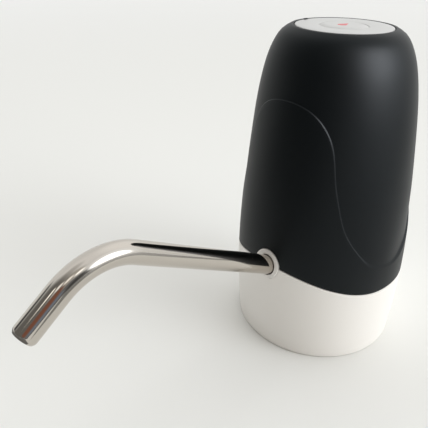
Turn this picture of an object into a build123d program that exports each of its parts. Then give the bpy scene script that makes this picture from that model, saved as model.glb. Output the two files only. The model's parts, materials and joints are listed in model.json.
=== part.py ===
from build123d import *
from math import acos, cos, pi, radians, sin, tan
import os

# A pump that stands on the neck of a large water bottle.
# The frame: the body's upright axis is Z, the standing plane is z = 0, and the spout points to -Y.
# All lengths are in millimetres and all angles in degrees.

# Fits and cuts
OVERRUN = 2.0
RUNNING_GAP = 0.05
PIECE_GAP = 0.3
SEAT_GAP = 0.1

# The body's outline
BODY_HEIGHT = 136.5
BODY_RADIUS = 37.7
FOOT_INSET = 1.7
WIDE_HEIGHT = 28.8
RIM_WALL = 1.0
RELIEF = 0.4
FOOT_EDGE = 0.8
SHELL_WALL = 2.4
SIDE_SHARES = [(0, 1), (0.125, 0.996), (0.303, 0.947), (0.619, 0.786), (0.823, 0.609), (0.945, 0.359),
               (0.98, 0.2), (1, 0)]
BASE_BULGE_SHARE = 0.78

# The line where the dark shell meets the pale base, low at the sides and high at front and back
SPLIT_LOW = 33.2
SPLIT_HIGH = 42.4
SPLIT_FLAT = 15.0
SPLIT_GAP = 0.4
LIP_RISE = 3.5
LIP_WALL = 1.4

# The raised lobes of the shell, bell shaped as seen from the front and from the back
WAVE_DROP = 24.4
WAVE_TAIL_RISE = 3.2
WAVE_SHARES = [(0, 1), (0.294, 0.955), (0.47, 0.833), (0.581, 0.594), (0.645, 0.444), (0.719, 0.292),
               (0.812, 0.149), (0.947, 0.02), (1.08, 0)]
WAVE_BACK_SPREAD_SHARE = 1.07

# The base and the socket for the bottle's neck
BASE_WALL = 2.2
CEILING_LOW = 28.8
CEILING_WALL = 2.2
NECK_INSET = 5.65
NECK_BAND = 11.5
NECK_RELIEF = 0.8
SKIRT_WALL = 2.0
SKIRT_HEIGHT = 26.0
SKIRT_FLANGE_ROOM = 1.0
SKIRT_FLANGE_WALL = 2.0
GUSSET_COUNT = 12
GUSSET_WALL = 1.4
GUSSET_REACH = 2.4
GASKET_REACH = 7.75
SKIRT_SCREW_INSET = 2.0
SKIRT_SCREW_COUNT = 4
SKIRT_SCREW_LENGTH = 6.2

# Self tapping screws
SCREW_RADIUS = 1.25
SCREW_HEAD_RADIUS = 2.2
SCREW_HEAD_HEIGHT = 1.5
SCREW_HOLE_GAP = 0.1

# The spout and its socket, on an axis that rises outwards
SPOUT_AXIS_HEIGHT = 21.0
SPOUT_RISE = 29.0
TUBE_RADIUS = 4.0
TUBE_WALL = 0.5
TUBE_SET_IN = 4.1
TUBE_REACH = 80.0
TUBE_BEND_RADIUS = 23.6
TUBE_BEND = 66.5
TUBE_TIP_LENGTH = 14.8
TUBE_TIP_EDGE = 0.22
SOCKET_RADIUS = 6.0
SOCKET_BACK_WALL = 1.4
SOCKET_PROUD = 0.6
SOCKET_FACE_TILT = 7.6
SOCKET_NOTCH_GAP = 0.35
SOCKET_FOOT_WIDTH = 22.0
SOCKET_FOOT_ROOM = 2.6
SOCKET_FOOT_DEPTH = 6.5
SOCKET_FOOT_WALL = 2.0
SOCKET_SCREW_REACH = 8.6
SPIGOT_RADIUS = 2.7
SPIGOT_BORE = 1.6
SPIGOT_ROOM = 2.0
O_RING_THICK = 1.0
O_RING_SET_IN = 2.0
O_RING_STEP = 3.0

# The silicone hose between the pump and the spout's socket
HOSE_WALL = 1.5

# The gear pump, on the base's ceiling
PUMP_CENTRE_Y = 2.0
GEAR_TEETH = 10
GEAR_MODULE = 1.0
GEAR_PRESSURE_ANGLE = 25.0
GEAR_BACKLASH = 0.12
GEAR_CENTRE_PLAY = 0.16
GEAR_ADDENDUM_SHARE = 0.9
GEAR_DEDENDUM_SHARE = 1.2
GEAR_WIDTH = 5.7
GEAR_SIDE_PLAY = 0.15
GEAR_TIP_PLAY = 0.2
PUMP_WALL = 2.4
PUMP_COVER_WALL = 3.0
PUMP_HEAD_WALL = 3.5
PUMP_EAR_RADIUS = 3.2
PUMP_EAR_REACH = 11.6
PUMP_PORT_RADIUS = 2.0
PUMP_PORT_REACH = 5.6
IDLER_PIN_RADIUS = 1.0
IDLER_PIN_SEAT = 1.5
SEAL_RADIUS = 3.0
SEAL_HEIGHT = 2.0
INLET_RADIUS = 3.9
INLET_BORE = 2.4
INLET_LOW = 12.5
INLET_EDGE = 0.5
INLET_SHOULDER_RADIUS = 4.3
INLET_HOLE_RADIUS = 4.6

# The electric motor, upright on the pump
SHAFT_RADIUS = 1.0
MOTOR_RADIUS = 12.2
MOTOR_LENGTH = 30.8
MOTOR_WALL = 0.9
MAGNET_WALL = 1.7
MAGNET_LENGTH = 20.0
MAGNET_ARC = 130.0
ARMATURE_RADIUS = 9.2
ARMATURE_LENGTH = 15.0
ARMATURE_LOW = 8.0
ARMATURE_SLOT_COUNT = 3
ARMATURE_SLOT = 1.6
ARMATURE_SLOT_DEPTH = 4.2
COMMUTATOR_RADIUS = 3.6
COMMUTATOR_LENGTH = 4.0
BUSHING_RADIUS = 2.8
BUSHING_LENGTH = 2.6
END_CAP_WALL = 2.4
TERMINAL_REACH = 5.6
TERMINAL_RADIUS = 0.9
TERMINAL_HEIGHT = 2.4

# The battery cell and its cup
CELL_WALL_ROOM = 10.3
CELL_MOTOR_ROOM = 1.88
CELL_DECK_ROOM = 1.8
CELL_LOW = 47.0
CELL_NIPPLE_RADIUS = 2.8
CELL_NIPPLE_HEIGHT = 1.0
CELL_EDGE = 0.9
CUP_WALL = 1.5
CUP_FLOOR = 2.0
CELL_SHOWN = 21.6
CONTACT_WALL = 0.4
CONTACT_WIDTH = 6.0
CONTACT_TAB = 2.4

# The frame that holds the inner parts
FRAME_FOOT_ROOM = 0.6
FRAME_FOOT_WIDTH = 6.5
FRAME_FOOT_WALL = 2.0
FRAME_FOOT_FRONT_ROOM = 2.5
CLAMP_WALL = 1.6
CLAMP_HEIGHT = 16.0
CLAMP_LOW = 52.0
COLUMN_ROOM = 2.42
COLUMN_WIDTH = 12.0
COLUMN_WALL = 3.0
POST_RADIUS = 2.2
POST_FOOT_RADIUS = 4.0
POST_X = 14.0
POST_ROOM = 3.7
DECK_DROP = 22.7
DECK_WALL = 2.0
DECK_RADIUS = 24.5
DECK_WINDOW_RADIUS = 11.0
BOSS_RADIUS = 2.6
BOSS_HEIGHT = 4.0
BOSS_CIRCLE = 19.0
BOSS_COUNT = 3
FRAME_SCREW_INSET = 3.2
FRAME_SCREW_ANGLES = [52.0, 128.0, 200.0, 340.0]
SCREW_LENGTH = 3.6

# The button board, the switch and the light
BOARD_WALL = 1.6
BOARD_RADIUS = 22.0
SWITCH_SIDE = 6.0
SWITCH_HEIGHT = 3.8
PLUNGER_RADIUS = 1.7
PLUNGER_DROP = 7.9
PLUNGER_FOOT = 1.0
LED_RADIUS = 1.5
LED_HEIGHT = 3.2

# The top plate and the push button
PLATE_RADIUS = 19.2
PLATE_WALL = 1.5
PLATE_GAP = 0.4
PLATE_EDGE = 0.25
LEDGE_RADIUS = 17.0
LEDGE_WALL = 1.7
BUTTON_RADIUS = 9.5
BUTTON_GAP = 0.35
BUTTON_SET_IN = 0.15
BUTTON_DISH_DEPTH = 0.7
BUTTON_EDGE = 0.3
BUTTON_FLANGE = 1.6
BUTTON_FLANGE_WALL = 1.0
BUTTON_STEM_RADIUS = 2.2
BUTTON_TRAVEL = 1.0
MARK_WALL = 0.25
MARK_RADIUS = 1.9
MARK_HEIGHT = 6.6
LENS_LENGTH = 2.4
LENS_WIDTH = 0.9
LENS_INSET = 0.4
LENS_SET_IN = 0.2

# The charging socket in the back of the shell
PORT_HEIGHT = 51.4
CHARGE_BOARD_WIDTH = 18.0
CHARGE_BOARD_MOTOR_ROOM = 4.6
CHARGE_BOARD_WALL_ROOM = 2.7
CHARGE_POST_RADIUS = 2.6
CHARGE_POST_X = 6.8
CHARGE_POST_INSET = 4.0
USB_WIDTH = 7.5
USB_HEIGHT = 2.7
USB_DEPTH = 5.6
USB_WALL = 0.35
USB_TONGUE_WALL = 0.6
USB_ROOM = 1.9
PORT_OPENING_WIDTH = 8.8
PORT_OPENING_HEIGHT = 3.8
PORT_RECESS_WIDTH = 12.0
PORT_RECESS_HEIGHT = 7.4
PORT_RECESS_DEPTH = 0.9
PORT_CORNER = 1.6

# Wires
WIRE_RADIUS = 0.6
WIRE_HOLE_GAP = 0.4
CHARGE_WIRE_X = 2.5
CHARGE_WIRE_INSET = 1.6

# Heights and places that follow from the sizes above
FOOT_RADIUS = BODY_RADIUS - FOOT_INSET
RIM_RADIUS = PLATE_RADIUS + PLATE_GAP + RIM_WALL
WAVE_TOP = BODY_HEIGHT - WAVE_DROP
WAVE_TAIL = SPLIT_HIGH + WAVE_TAIL_RISE
CEILING_HIGH = CEILING_LOW + CEILING_WALL
SHELL_INNER_RADIUS = BODY_RADIUS - SHELL_WALL
LIP_OUTER_RADIUS = SHELL_INNER_RADIUS - PIECE_GAP
LIP_INNER_RADIUS = LIP_OUTER_RADIUS - LIP_WALL
HOLLOW_RADIUS = BODY_RADIUS - BASE_WALL - BASE_WALL / 2
SKIRT_FLANGE_RADIUS = HOLLOW_RADIUS - SKIRT_FLANGE_ROOM
SKIRT_SCREW_CIRCLE = SKIRT_FLANGE_RADIUS - SKIRT_SCREW_INSET
NECK_RADIUS = SKIRT_FLANGE_RADIUS - NECK_INSET
GASKET_OPENING = NECK_RADIUS - GASKET_REACH
TUBE_INNER_END = BODY_RADIUS - TUBE_SET_IN
TUBE_STRAIGHT_END = BODY_RADIUS + TUBE_REACH
SOCKET_INNER_END = TUBE_INNER_END - SOCKET_BACK_WALL
SOCKET_FOOT_FRONT = LIP_INNER_RADIUS - SOCKET_FOOT_ROOM
SOCKET_FOOT_BACK = SOCKET_FOOT_FRONT - SOCKET_FOOT_DEPTH
O_RING_PLACES = [TUBE_INNER_END + O_RING_SET_IN, TUBE_INNER_END + O_RING_SET_IN + O_RING_STEP]
PLATE_LOW = BODY_HEIGHT - PLATE_WALL
LEDGE_HIGH = PLATE_LOW - SEAT_GAP
LEDGE_LOW = LEDGE_HIGH - LEDGE_WALL
GEAR_PITCH_RADIUS = GEAR_MODULE * GEAR_TEETH / 2
GEAR_DISTANCE = 2 * GEAR_PITCH_RADIUS + GEAR_CENTRE_PLAY
GEAR_OUTER_RADIUS = GEAR_PITCH_RADIUS + GEAR_ADDENDUM_SHARE * GEAR_MODULE
DRIVE_X = -GEAR_DISTANCE / 2
IDLER_X = GEAR_DISTANCE / 2
COVER_LOW = CEILING_HIGH + PIECE_GAP
CAVITY_LOW = COVER_LOW + PUMP_COVER_WALL
CAVITY_HIGH = CAVITY_LOW + GEAR_WIDTH + 2 * GEAR_SIDE_PLAY
PUMP_HIGH = CAVITY_HIGH + PUMP_HEAD_WALL
PUMP_RADIUS = GEAR_OUTER_RADIUS + GEAR_TIP_PLAY + PUMP_WALL
SPIGOT_LENGTH = (SOCKET_FOOT_BACK + PUMP_CENTRE_Y - PUMP_RADIUS - SPIGOT_ROOM) / 2
OUTLET_HEIGHT = (CAVITY_LOW + CAVITY_HIGH) / 2
MOTOR_LOW = PUMP_HIGH + SEAT_GAP
MOTOR_HIGH = MOTOR_LOW + MOTOR_LENGTH
END_CAP_HIGH = MOTOR_HIGH + END_CAP_WALL
SHAFT_LOW = CAVITY_LOW + GEAR_SIDE_PLAY
SHAFT_HIGH = END_CAP_HIGH
DECK_LOW = BODY_HEIGHT - DECK_DROP
CELL_HIGH = DECK_LOW - CELL_DECK_ROOM
CELL_REACH = BODY_RADIUS - CELL_WALL_ROOM
CELL_RADIUS = (CELL_REACH - DRIVE_X - MOTOR_RADIUS - CELL_MOTOR_ROOM) / 2
CELL_X = CELL_REACH - CELL_RADIUS
CUP_HIGH = CELL_HIGH - CELL_SHOWN
FRAME_FOOT_LOW = CEILING_HIGH + SEAT_GAP
FRAME_FOOT_HIGH = FRAME_FOOT_LOW + FRAME_FOOT_WALL
FRAME_FOOT_OUTER = LIP_INNER_RADIUS - FRAME_FOOT_ROOM
FRAME_FOOT_INNER = FRAME_FOOT_OUTER - FRAME_FOOT_WIDTH
FRAME_FOOT_FRONT = SOCKET_FOOT_BACK - FRAME_FOOT_FRONT_ROOM
FRAME_SCREW_CIRCLE = FRAME_FOOT_OUTER - FRAME_SCREW_INSET
POST_Y = SOCKET_FOOT_BACK - POST_ROOM
COLUMN_X = DRIVE_X - MOTOR_RADIUS - PIECE_GAP - CLAMP_WALL - COLUMN_ROOM - COLUMN_WALL
BOARD_LOW = DECK_LOW + DECK_WALL + BOSS_HEIGHT + SEAT_GAP
BOARD_HIGH = BOARD_LOW + BOARD_WALL
SWITCH_LOW = BOARD_HIGH + SEAT_GAP
SWITCH_HIGH = SWITCH_LOW + SWITCH_HEIGHT
PLUNGER_TOP = BODY_HEIGHT - PLUNGER_DROP
BUTTON_TOP = BODY_HEIGHT - BUTTON_SET_IN
BUTTON_FLANGE_HIGH = PLATE_LOW - BUTTON_GAP
BUTTON_FLANGE_LOW = BUTTON_FLANGE_HIGH - BUTTON_FLANGE_WALL
CHARGE_BOARD_HIGH = PORT_HEIGHT - USB_HEIGHT / 2 - SEAT_GAP
CHARGE_BOARD_LOW = CHARGE_BOARD_HIGH - BOARD_WALL
CHARGE_BOARD_BACK = SHELL_INNER_RADIUS - CHARGE_BOARD_WALL_ROOM
CHARGE_BOARD_FRONT = PUMP_CENTRE_Y + MOTOR_RADIUS + CHARGE_BOARD_MOTOR_ROOM
CHARGE_POST_Y = CHARGE_BOARD_BACK - CHARGE_POST_INSET
CHARGE_WIRE_Y = CHARGE_BOARD_FRONT + CHARGE_WIRE_INSET
USB_BACK = SHELL_INNER_RADIUS - USB_ROOM
LENS_REACH = PLATE_RADIUS - LENS_INSET
SPOUT_FRAME = Plane(origin=(0, 0, SPOUT_AXIS_HEIGHT), x_dir=(1, 0, 0),
                    z_dir=(0, -cos(radians(SPOUT_RISE)), sin(radians(SPOUT_RISE))))


# Simple forms

def rod(radius, low, high, x=0, y=0):
    """An upright round bar between two heights."""
    return Pos(x, y, low) * Cylinder(radius, high - low, align=(Align.CENTER, Align.CENTER, Align.MIN))


def ring(outer_radius, inner_radius, low, high, x=0, y=0):
    """An upright tube between two heights."""
    bore = rod(inner_radius, low - OVERRUN, high + OVERRUN, x, y)
    return rod(outer_radius, low, high, x, y) - bore


def block(x_low, x_high, y_low, y_high, z_low, z_high):
    """A box between its lowest and highest corners."""
    size = Box(x_high - x_low, y_high - y_low, z_high - z_low, align=(Align.MIN, Align.MIN, Align.MIN))
    return Pos(x_low, y_low, z_low) * size


def spun(face):
    """A full turn of an outline in the XZ plane about Z."""
    return revolve(Plane.XZ * face, axis=Axis.Z, revolution_arc=360)


def round_places(radius, count, start=0.0):
    """Evenly spaced (x, y) places on a circle."""
    angles = [radians(start + 360 * k / count) for k in range(count)]
    return [(radius * cos(a), radius * sin(a)) for a in angles]


def screw(low, length, x, y, up=True):
    """A pan head screw: its shank goes up from its head, or down from it."""
    if up:
        head = rod(SCREW_HEAD_RADIUS, low - SCREW_HEAD_HEIGHT, low, x, y)
        return head + rod(SCREW_RADIUS, low, low + length, x, y)
    head = rod(SCREW_HEAD_RADIUS, low, low + SCREW_HEAD_HEIGHT, x, y)
    return head + rod(SCREW_RADIUS, low - length, low, x, y)


def group(pieces):
    """Separate solids under one name."""
    return Compound(children=list(pieces))


# The body's outline

def side_curve(widest, rim, low, high):
    """The side from its widest place up to the rim, as shares of the radius and the height."""
    points = [(rim + r * (widest - rim), low + h * (high - low)) for h, r in SIDE_SHARES]
    return Spline(*points)


def domed_body(widest, rim, low, high):
    """The solid inside one side curve."""
    side = side_curve(widest, rim, low, high)
    outline = side + Polyline((rim, high), (0, high), (0, low), (widest, low))
    return spun(make_face(outline))


def wave_lobe(spread, y_low, y_high):
    """Everything under the bell shaped line, on one side of the body."""
    span = WAVE_TOP - WAVE_TAIL
    edge = WAVE_SHARES[-1][0]
    right = [(BODY_RADIUS * min(x * spread, edge), WAVE_TAIL + z * span) for x, z in WAVE_SHARES]
    left = [(-x, z) for x, z in reversed(right[1:])]
    bell = Spline(*left, *right)
    side = right[-1][0]
    floor = Polyline((side, WAVE_TAIL), (side, 0), (-side, 0), (-side, WAVE_TAIL))
    face = Plane.XZ * make_face(bell + floor)
    return Pos(0, y_high, 0) * extrude(face, y_high - y_low)


def below_split(rise):
    """Everything below the line between shell and base, raised by a distance."""
    flat = SPLIT_FLAT / 2
    reach = BODY_RADIUS + OVERRUN
    low = SPLIT_LOW + rise
    high = SPLIT_HIGH + rise
    right = TangentArc((flat, low), (BODY_RADIUS, high), tangent=(1, 0))
    left = TangentArc((-flat, low), (-BODY_RADIUS, high), tangent=(-1, 0))
    rest = Polyline((BODY_RADIUS, high), (reach, high), (reach, -reach), (-reach, -reach), (-reach, high),
                    (-BODY_RADIUS, high))
    outline = left + Line((-flat, low), (flat, low)) + right + rest
    return extrude(Plane.YZ * make_face(outline), reach, both=True)


def spout_bar(radius, inner_end, outer_end):
    """A round bar on the spout's axis between two distances from the body's axis."""
    return SPOUT_FRAME * rod(radius, inner_end, outer_end)


# The casing

def outer_shell():
    """The dark cover: a tall dome with two raised lobes, a notch for the spout and a charging opening."""
    high = BODY_HEIGHT
    dome = domed_body(BODY_RADIUS - RELIEF, RIM_RADIUS, WIDE_HEIGHT, high)
    lobes = domed_body(BODY_RADIUS, RIM_RADIUS + RELIEF, WIDE_HEIGHT, high)
    reach = BODY_RADIUS + OVERRUN
    front = lobes & wave_lobe(1, -reach, 0)
    back = lobes & wave_lobe(WAVE_BACK_SPREAD_SHARE, 0, reach)
    shell = dome + front + back
    shell -= domed_body(SHELL_INNER_RADIUS, LEDGE_RADIUS, WIDE_HEIGHT, LEDGE_LOW)
    shell -= rod(LEDGE_RADIUS, LEDGE_LOW - OVERRUN, BODY_HEIGHT + OVERRUN)
    shell -= rod(PLATE_RADIUS + PLATE_GAP, LEDGE_HIGH, BODY_HEIGHT + OVERRUN)
    shell -= below_split(SPLIT_GAP / 2)
    shell -= spout_bar(SOCKET_RADIUS + SOCKET_NOTCH_GAP, SOCKET_INNER_END, TUBE_STRAIGHT_END)
    shell -= port_cut(PORT_OPENING_WIDTH, PORT_OPENING_HEIGHT, BODY_RADIUS - SHELL_WALL - OVERRUN)
    shell -= port_cut(PORT_RECESS_WIDTH, PORT_RECESS_HEIGHT, BODY_RADIUS - PORT_RECESS_DEPTH)
    shell -= lens_bar(2 * PIECE_GAP, LEDGE_LOW - OVERRUN, LEDGE_HIGH)
    return shell


def port_cut(width, height, inner_y):
    """A rounded opening through the back wall, from a depth outwards."""
    corner = min(PORT_CORNER, height / 2 - RUNNING_GAP)
    face = Plane.XZ * RectangleRounded(width, height, corner)
    outer_y = BODY_RADIUS + OVERRUN
    return Pos(0, outer_y, PORT_HEIGHT) * extrude(face, outer_y - inner_y)


def base_side():
    """The base's outline, which leans out a little towards its top."""
    top = SPLIT_HIGH + OVERRUN
    top_radius = BODY_RADIUS - SEAT_GAP
    middle = FOOT_RADIUS + BASE_BULGE_SHARE * (top_radius - FOOT_RADIUS)
    side = ThreePointArc((FOOT_RADIUS, 0), (middle, top / 2), (top_radius, top))
    return make_face(side + Polyline((top_radius, top), (0, top), (0, 0), (FOOT_RADIUS, 0)))


def base_shell():
    """The pale base: outer wall, ceiling over the bottle's neck, and the lip that the shell fits over."""
    body = spun(base_side())
    body = fillet(body.edges().filter_by(GeomType.CIRCLE).sort_by(Axis.Z)[0], FOOT_EDGE)
    body &= below_split(-SPLIT_GAP / 2)
    body += rod(LIP_OUTER_RADIUS, CEILING_LOW, SPLIT_HIGH + LIP_RISE) & below_split(LIP_RISE)
    body -= base_hollow()
    body -= rod(LIP_INNER_RADIUS, CEILING_HIGH, BODY_HEIGHT)
    body -= rod(INLET_HOLE_RADIUS, 0, CEILING_HIGH + OVERRUN, 0, PUMP_CENTRE_Y + PUMP_PORT_REACH)
    body -= spout_bar(SOCKET_RADIUS + PIECE_GAP / 2, SOCKET_INNER_END, TUBE_STRAIGHT_END)
    for x, y in ceiling_screw_places():
        body -= rod(SCREW_RADIUS + SCREW_HOLE_GAP, CEILING_LOW - OVERRUN, CEILING_HIGH + OVERRUN, x, y)
    return body


def base_hollow():
    """The space between the standing edge and the ceiling."""
    low_radius = FOOT_RADIUS - BASE_WALL
    outline = Polyline((0, -OVERRUN), (low_radius, -OVERRUN), (low_radius, 0), (HOLLOW_RADIUS, CEILING_LOW),
                       (0, CEILING_LOW), (0, -OVERRUN))
    return spun(make_face(outline))


def skirt_screw_places():
    """Where the neck skirt is screwed to the ceiling."""
    return round_places(SKIRT_SCREW_CIRCLE, SKIRT_SCREW_COUNT, 360 / SKIRT_SCREW_COUNT / 2)


def socket_screw_places():
    """Where the spout's socket is screwed to the ceiling."""
    y = -(SOCKET_FOOT_FRONT + SOCKET_FOOT_BACK) / 2
    return [(-SOCKET_SCREW_REACH, y), (SOCKET_SCREW_REACH, y)]


def frame_screw_places():
    """Where the inner frame is screwed to the ceiling."""
    angles = [radians(a) for a in FRAME_SCREW_ANGLES]
    return [(FRAME_SCREW_CIRCLE * cos(a), FRAME_SCREW_CIRCLE * sin(a)) for a in angles]


def pump_screw_places():
    """The pump's two ears."""
    reach = IDLER_X + PUMP_EAR_REACH
    return [(-reach, PUMP_CENTRE_Y), (reach, PUMP_CENTRE_Y)]


def ceiling_screw_places():
    """All screws that bite into the ceiling."""
    return skirt_screw_places() + socket_screw_places() + frame_screw_places() + pump_screw_places()


def neck_skirt():
    """The sleeve over the bottle's neck: a gripping band, a relief above it, a flange and gussets."""
    flange_low = SKIRT_HEIGHT - SKIRT_FLANGE_WALL
    outer = NECK_RADIUS + SKIRT_WALL
    skirt = ring(outer, NECK_RADIUS, 0, SKIRT_HEIGHT)
    skirt += ring(SKIRT_FLANGE_RADIUS, NECK_RADIUS, flange_low, SKIRT_HEIGHT)
    skirt -= rod(NECK_RADIUS + NECK_RELIEF, NECK_BAND, SKIRT_HEIGHT + OVERRUN)
    for k in range(GUSSET_COUNT):
        outline = Polyline((outer - SKIRT_WALL / 2, flange_low), (outer + GUSSET_REACH, flange_low),
                           (outer, SKIRT_FLANGE_WALL), (outer - SKIRT_WALL / 2, SKIRT_FLANGE_WALL),
                           (outer - SKIRT_WALL / 2, flange_low))
        gusset = extrude(Plane.XZ * make_face(outline), GUSSET_WALL / 2, both=True)
        skirt += Rot(0, 0, 360 * k / GUSSET_COUNT) * gusset
    for x, y in skirt_screw_places():
        skirt -= rod(SCREW_RADIUS + SCREW_HOLE_GAP, flange_low - OVERRUN, SKIRT_HEIGHT + OVERRUN, x, y)
        skirt -= rod(SCREW_HEAD_RADIUS + PIECE_GAP, 0, flange_low, x, y)
    return skirt


def neck_gasket():
    """The soft ring that the rim of the bottle's neck presses on."""
    low = SKIRT_HEIGHT + SEAT_GAP
    gasket = ring(SKIRT_FLANGE_RADIUS, GASKET_OPENING, low, CEILING_LOW - SEAT_GAP)
    for x, y in skirt_screw_places():
        gasket -= rod(SCREW_RADIUS + SCREW_HOLE_GAP, 0, CEILING_LOW, x, y)
    return gasket


def skirt_screws():
    """Four screws up through the skirt's flange and the gasket into the ceiling."""
    low = SKIRT_HEIGHT - SKIRT_FLANGE_WALL
    return group(screw(low, SKIRT_SCREW_LENGTH, x, y) for x, y in skirt_screw_places())


# The spout

def spout_point(along, up):
    """A point beside the spout's axis, by its distance along it and above it."""
    rise = radians(SPOUT_RISE)
    y = -along * cos(rise) + up * sin(rise)
    return (0, y, SPOUT_AXIS_HEIGHT + along * sin(rise) + up * cos(rise))


def spout_path():
    """The tube's centre line: straight, one bend down, and a short straight end."""
    bend = radians(TUBE_BEND)
    start = spout_point(TUBE_INNER_END, 0)
    knee = spout_point(TUBE_STRAIGHT_END, 0)
    middle = spout_point(TUBE_STRAIGHT_END + TUBE_BEND_RADIUS * sin(bend / 2),
                         -TUBE_BEND_RADIUS * (1 - cos(bend / 2)))
    along = TUBE_STRAIGHT_END + TUBE_BEND_RADIUS * sin(bend)
    down = TUBE_BEND_RADIUS * (1 - cos(bend))
    bent = spout_point(along, -down)
    tip = spout_point(along + TUBE_TIP_LENGTH * cos(bend), -down - TUBE_TIP_LENGTH * sin(bend))
    return Line(start, knee) + ThreePointArc(knee, middle, bent) + Line(bent, tip)


def spout_tube():
    """The bent steel tube, with its edges rounded at the tip."""
    path = spout_path()
    section = SPOUT_FRAME * Pos(0, 0, TUBE_INNER_END)
    outer = sweep(section * Circle(TUBE_RADIUS), path=path)
    inner = sweep(section * Circle(TUBE_RADIUS - TUBE_WALL), path=path)
    tube = outer - inner
    return fillet(tube.edges().filter_by(GeomType.CIRCLE).sort_by(Axis.Y)[:2], TUBE_TIP_EDGE)


def spout_socket():
    """The pale collar that the tube turns in, with a foot on the ceiling and a spigot for the hose."""
    collar = spout_bar(SOCKET_RADIUS, SOCKET_INNER_END, TUBE_STRAIGHT_END)
    collar -= Pos(0, -BODY_RADIUS - SOCKET_PROUD, spout_height_at(BODY_RADIUS)) * socket_face_cut()
    foot_low = CEILING_HIGH + SEAT_GAP
    foot = block(-SOCKET_FOOT_WIDTH / 2, SOCKET_FOOT_WIDTH / 2, -SOCKET_FOOT_FRONT, -SOCKET_FOOT_BACK,
                 foot_low, foot_low + SOCKET_FOOT_WALL)
    web = block(-SPIGOT_RADIUS, SPIGOT_RADIUS, -SOCKET_FOOT_FRONT + PIECE_GAP, -SOCKET_FOOT_BACK,
                foot_low, OUTLET_HEIGHT)
    spigot = along_y(SPIGOT_RADIUS, -SOCKET_FOOT_FRONT + PIECE_GAP, -SOCKET_FOOT_BACK + SPIGOT_LENGTH)
    socket = collar + foot + web + spigot
    socket -= spout_bar(TUBE_RADIUS + RUNNING_GAP, TUBE_INNER_END - PIECE_GAP, TUBE_STRAIGHT_END)
    socket -= along_y(SPIGOT_BORE, -SOCKET_FOOT_FRONT + PIECE_GAP, BODY_RADIUS)
    for place in O_RING_PLACES:
        groove = TUBE_RADIUS + RUNNING_GAP + O_RING_THICK + SEAT_GAP
        half = O_RING_THICK / 2 + SEAT_GAP
        socket -= spout_bar(groove, place - half, place + half)
    foot_high = foot_low + SOCKET_FOOT_WALL
    for x, y in socket_screw_places():
        socket -= rod(SCREW_RADIUS + SCREW_HOLE_GAP, foot_low - OVERRUN, foot_high + OVERRUN, x, y)
    return socket


def spout_height_at(radius):
    """The height of the spout's axis at a distance from the body's axis."""
    return SPOUT_AXIS_HEIGHT + radius * tan(radians(SPOUT_RISE))


def socket_face_cut():
    """Everything in front of the collar's face, which leans back a little."""
    size = 2 * TUBE_STRAIGHT_END
    slab = Box(size, size, size, align=(Align.CENTER, Align.MAX, Align.CENTER))
    return Rot(-SOCKET_FACE_TILT, 0, 0) * slab


def along_y(radius, y_low, y_high, x=0, z=None):
    """A round bar along Y at the outlet's height."""
    height = OUTLET_HEIGHT if z is None else z
    bar = Cylinder(radius, y_high - y_low, align=(Align.CENTER, Align.CENTER, Align.MIN))
    return Pos(x, y_low, height) * Rot(-90, 0, 0) * bar


def socket_screws():
    """Two screws down through the socket's foot."""
    low = CEILING_HIGH + SEAT_GAP + SOCKET_FOOT_WALL
    return group(screw(low, SCREW_LENGTH, x, y, up=False) for x, y in socket_screw_places())


def spout_o_rings():
    """Two rubber rings in the collar's grooves."""
    radius = TUBE_RADIUS + RUNNING_GAP + O_RING_THICK / 2
    shape = Torus(radius, O_RING_THICK / 2)
    return group(SPOUT_FRAME * Pos(0, 0, place) * shape for place in O_RING_PLACES)


def outlet_hose():
    """A short silicone hose over the pump's and the socket's spigots."""
    y_low = -SOCKET_FOOT_BACK + PIECE_GAP
    y_high = PUMP_CENTRE_Y - PUMP_RADIUS - PIECE_GAP
    inner = SPIGOT_RADIUS + RUNNING_GAP
    return along_y(inner + HOSE_WALL, y_low, y_high) - along_y(inner, y_low - OVERRUN, y_high + OVERRUN)


# The pump

def oval(radius, low, high):
    """An upright oval block around both gears."""
    face = Pos(0, PUMP_CENTRE_Y, low) * SlotCenterToCenter(GEAR_DISTANCE, 2 * radius)
    return extrude(face, high - low)


def pump_ears(low, high):
    """The two ears that carry the pump's screws."""
    ears = [rod(PUMP_EAR_RADIUS, low, high, x, y) for x, y in pump_screw_places()]
    reach = IDLER_X + PUMP_EAR_REACH
    front = PUMP_CENTRE_Y - PUMP_EAR_RADIUS
    bridge = block(-reach, reach, front, front + 2 * PUMP_EAR_RADIUS, low, high)
    return ears[0] + ears[1] + bridge


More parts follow.
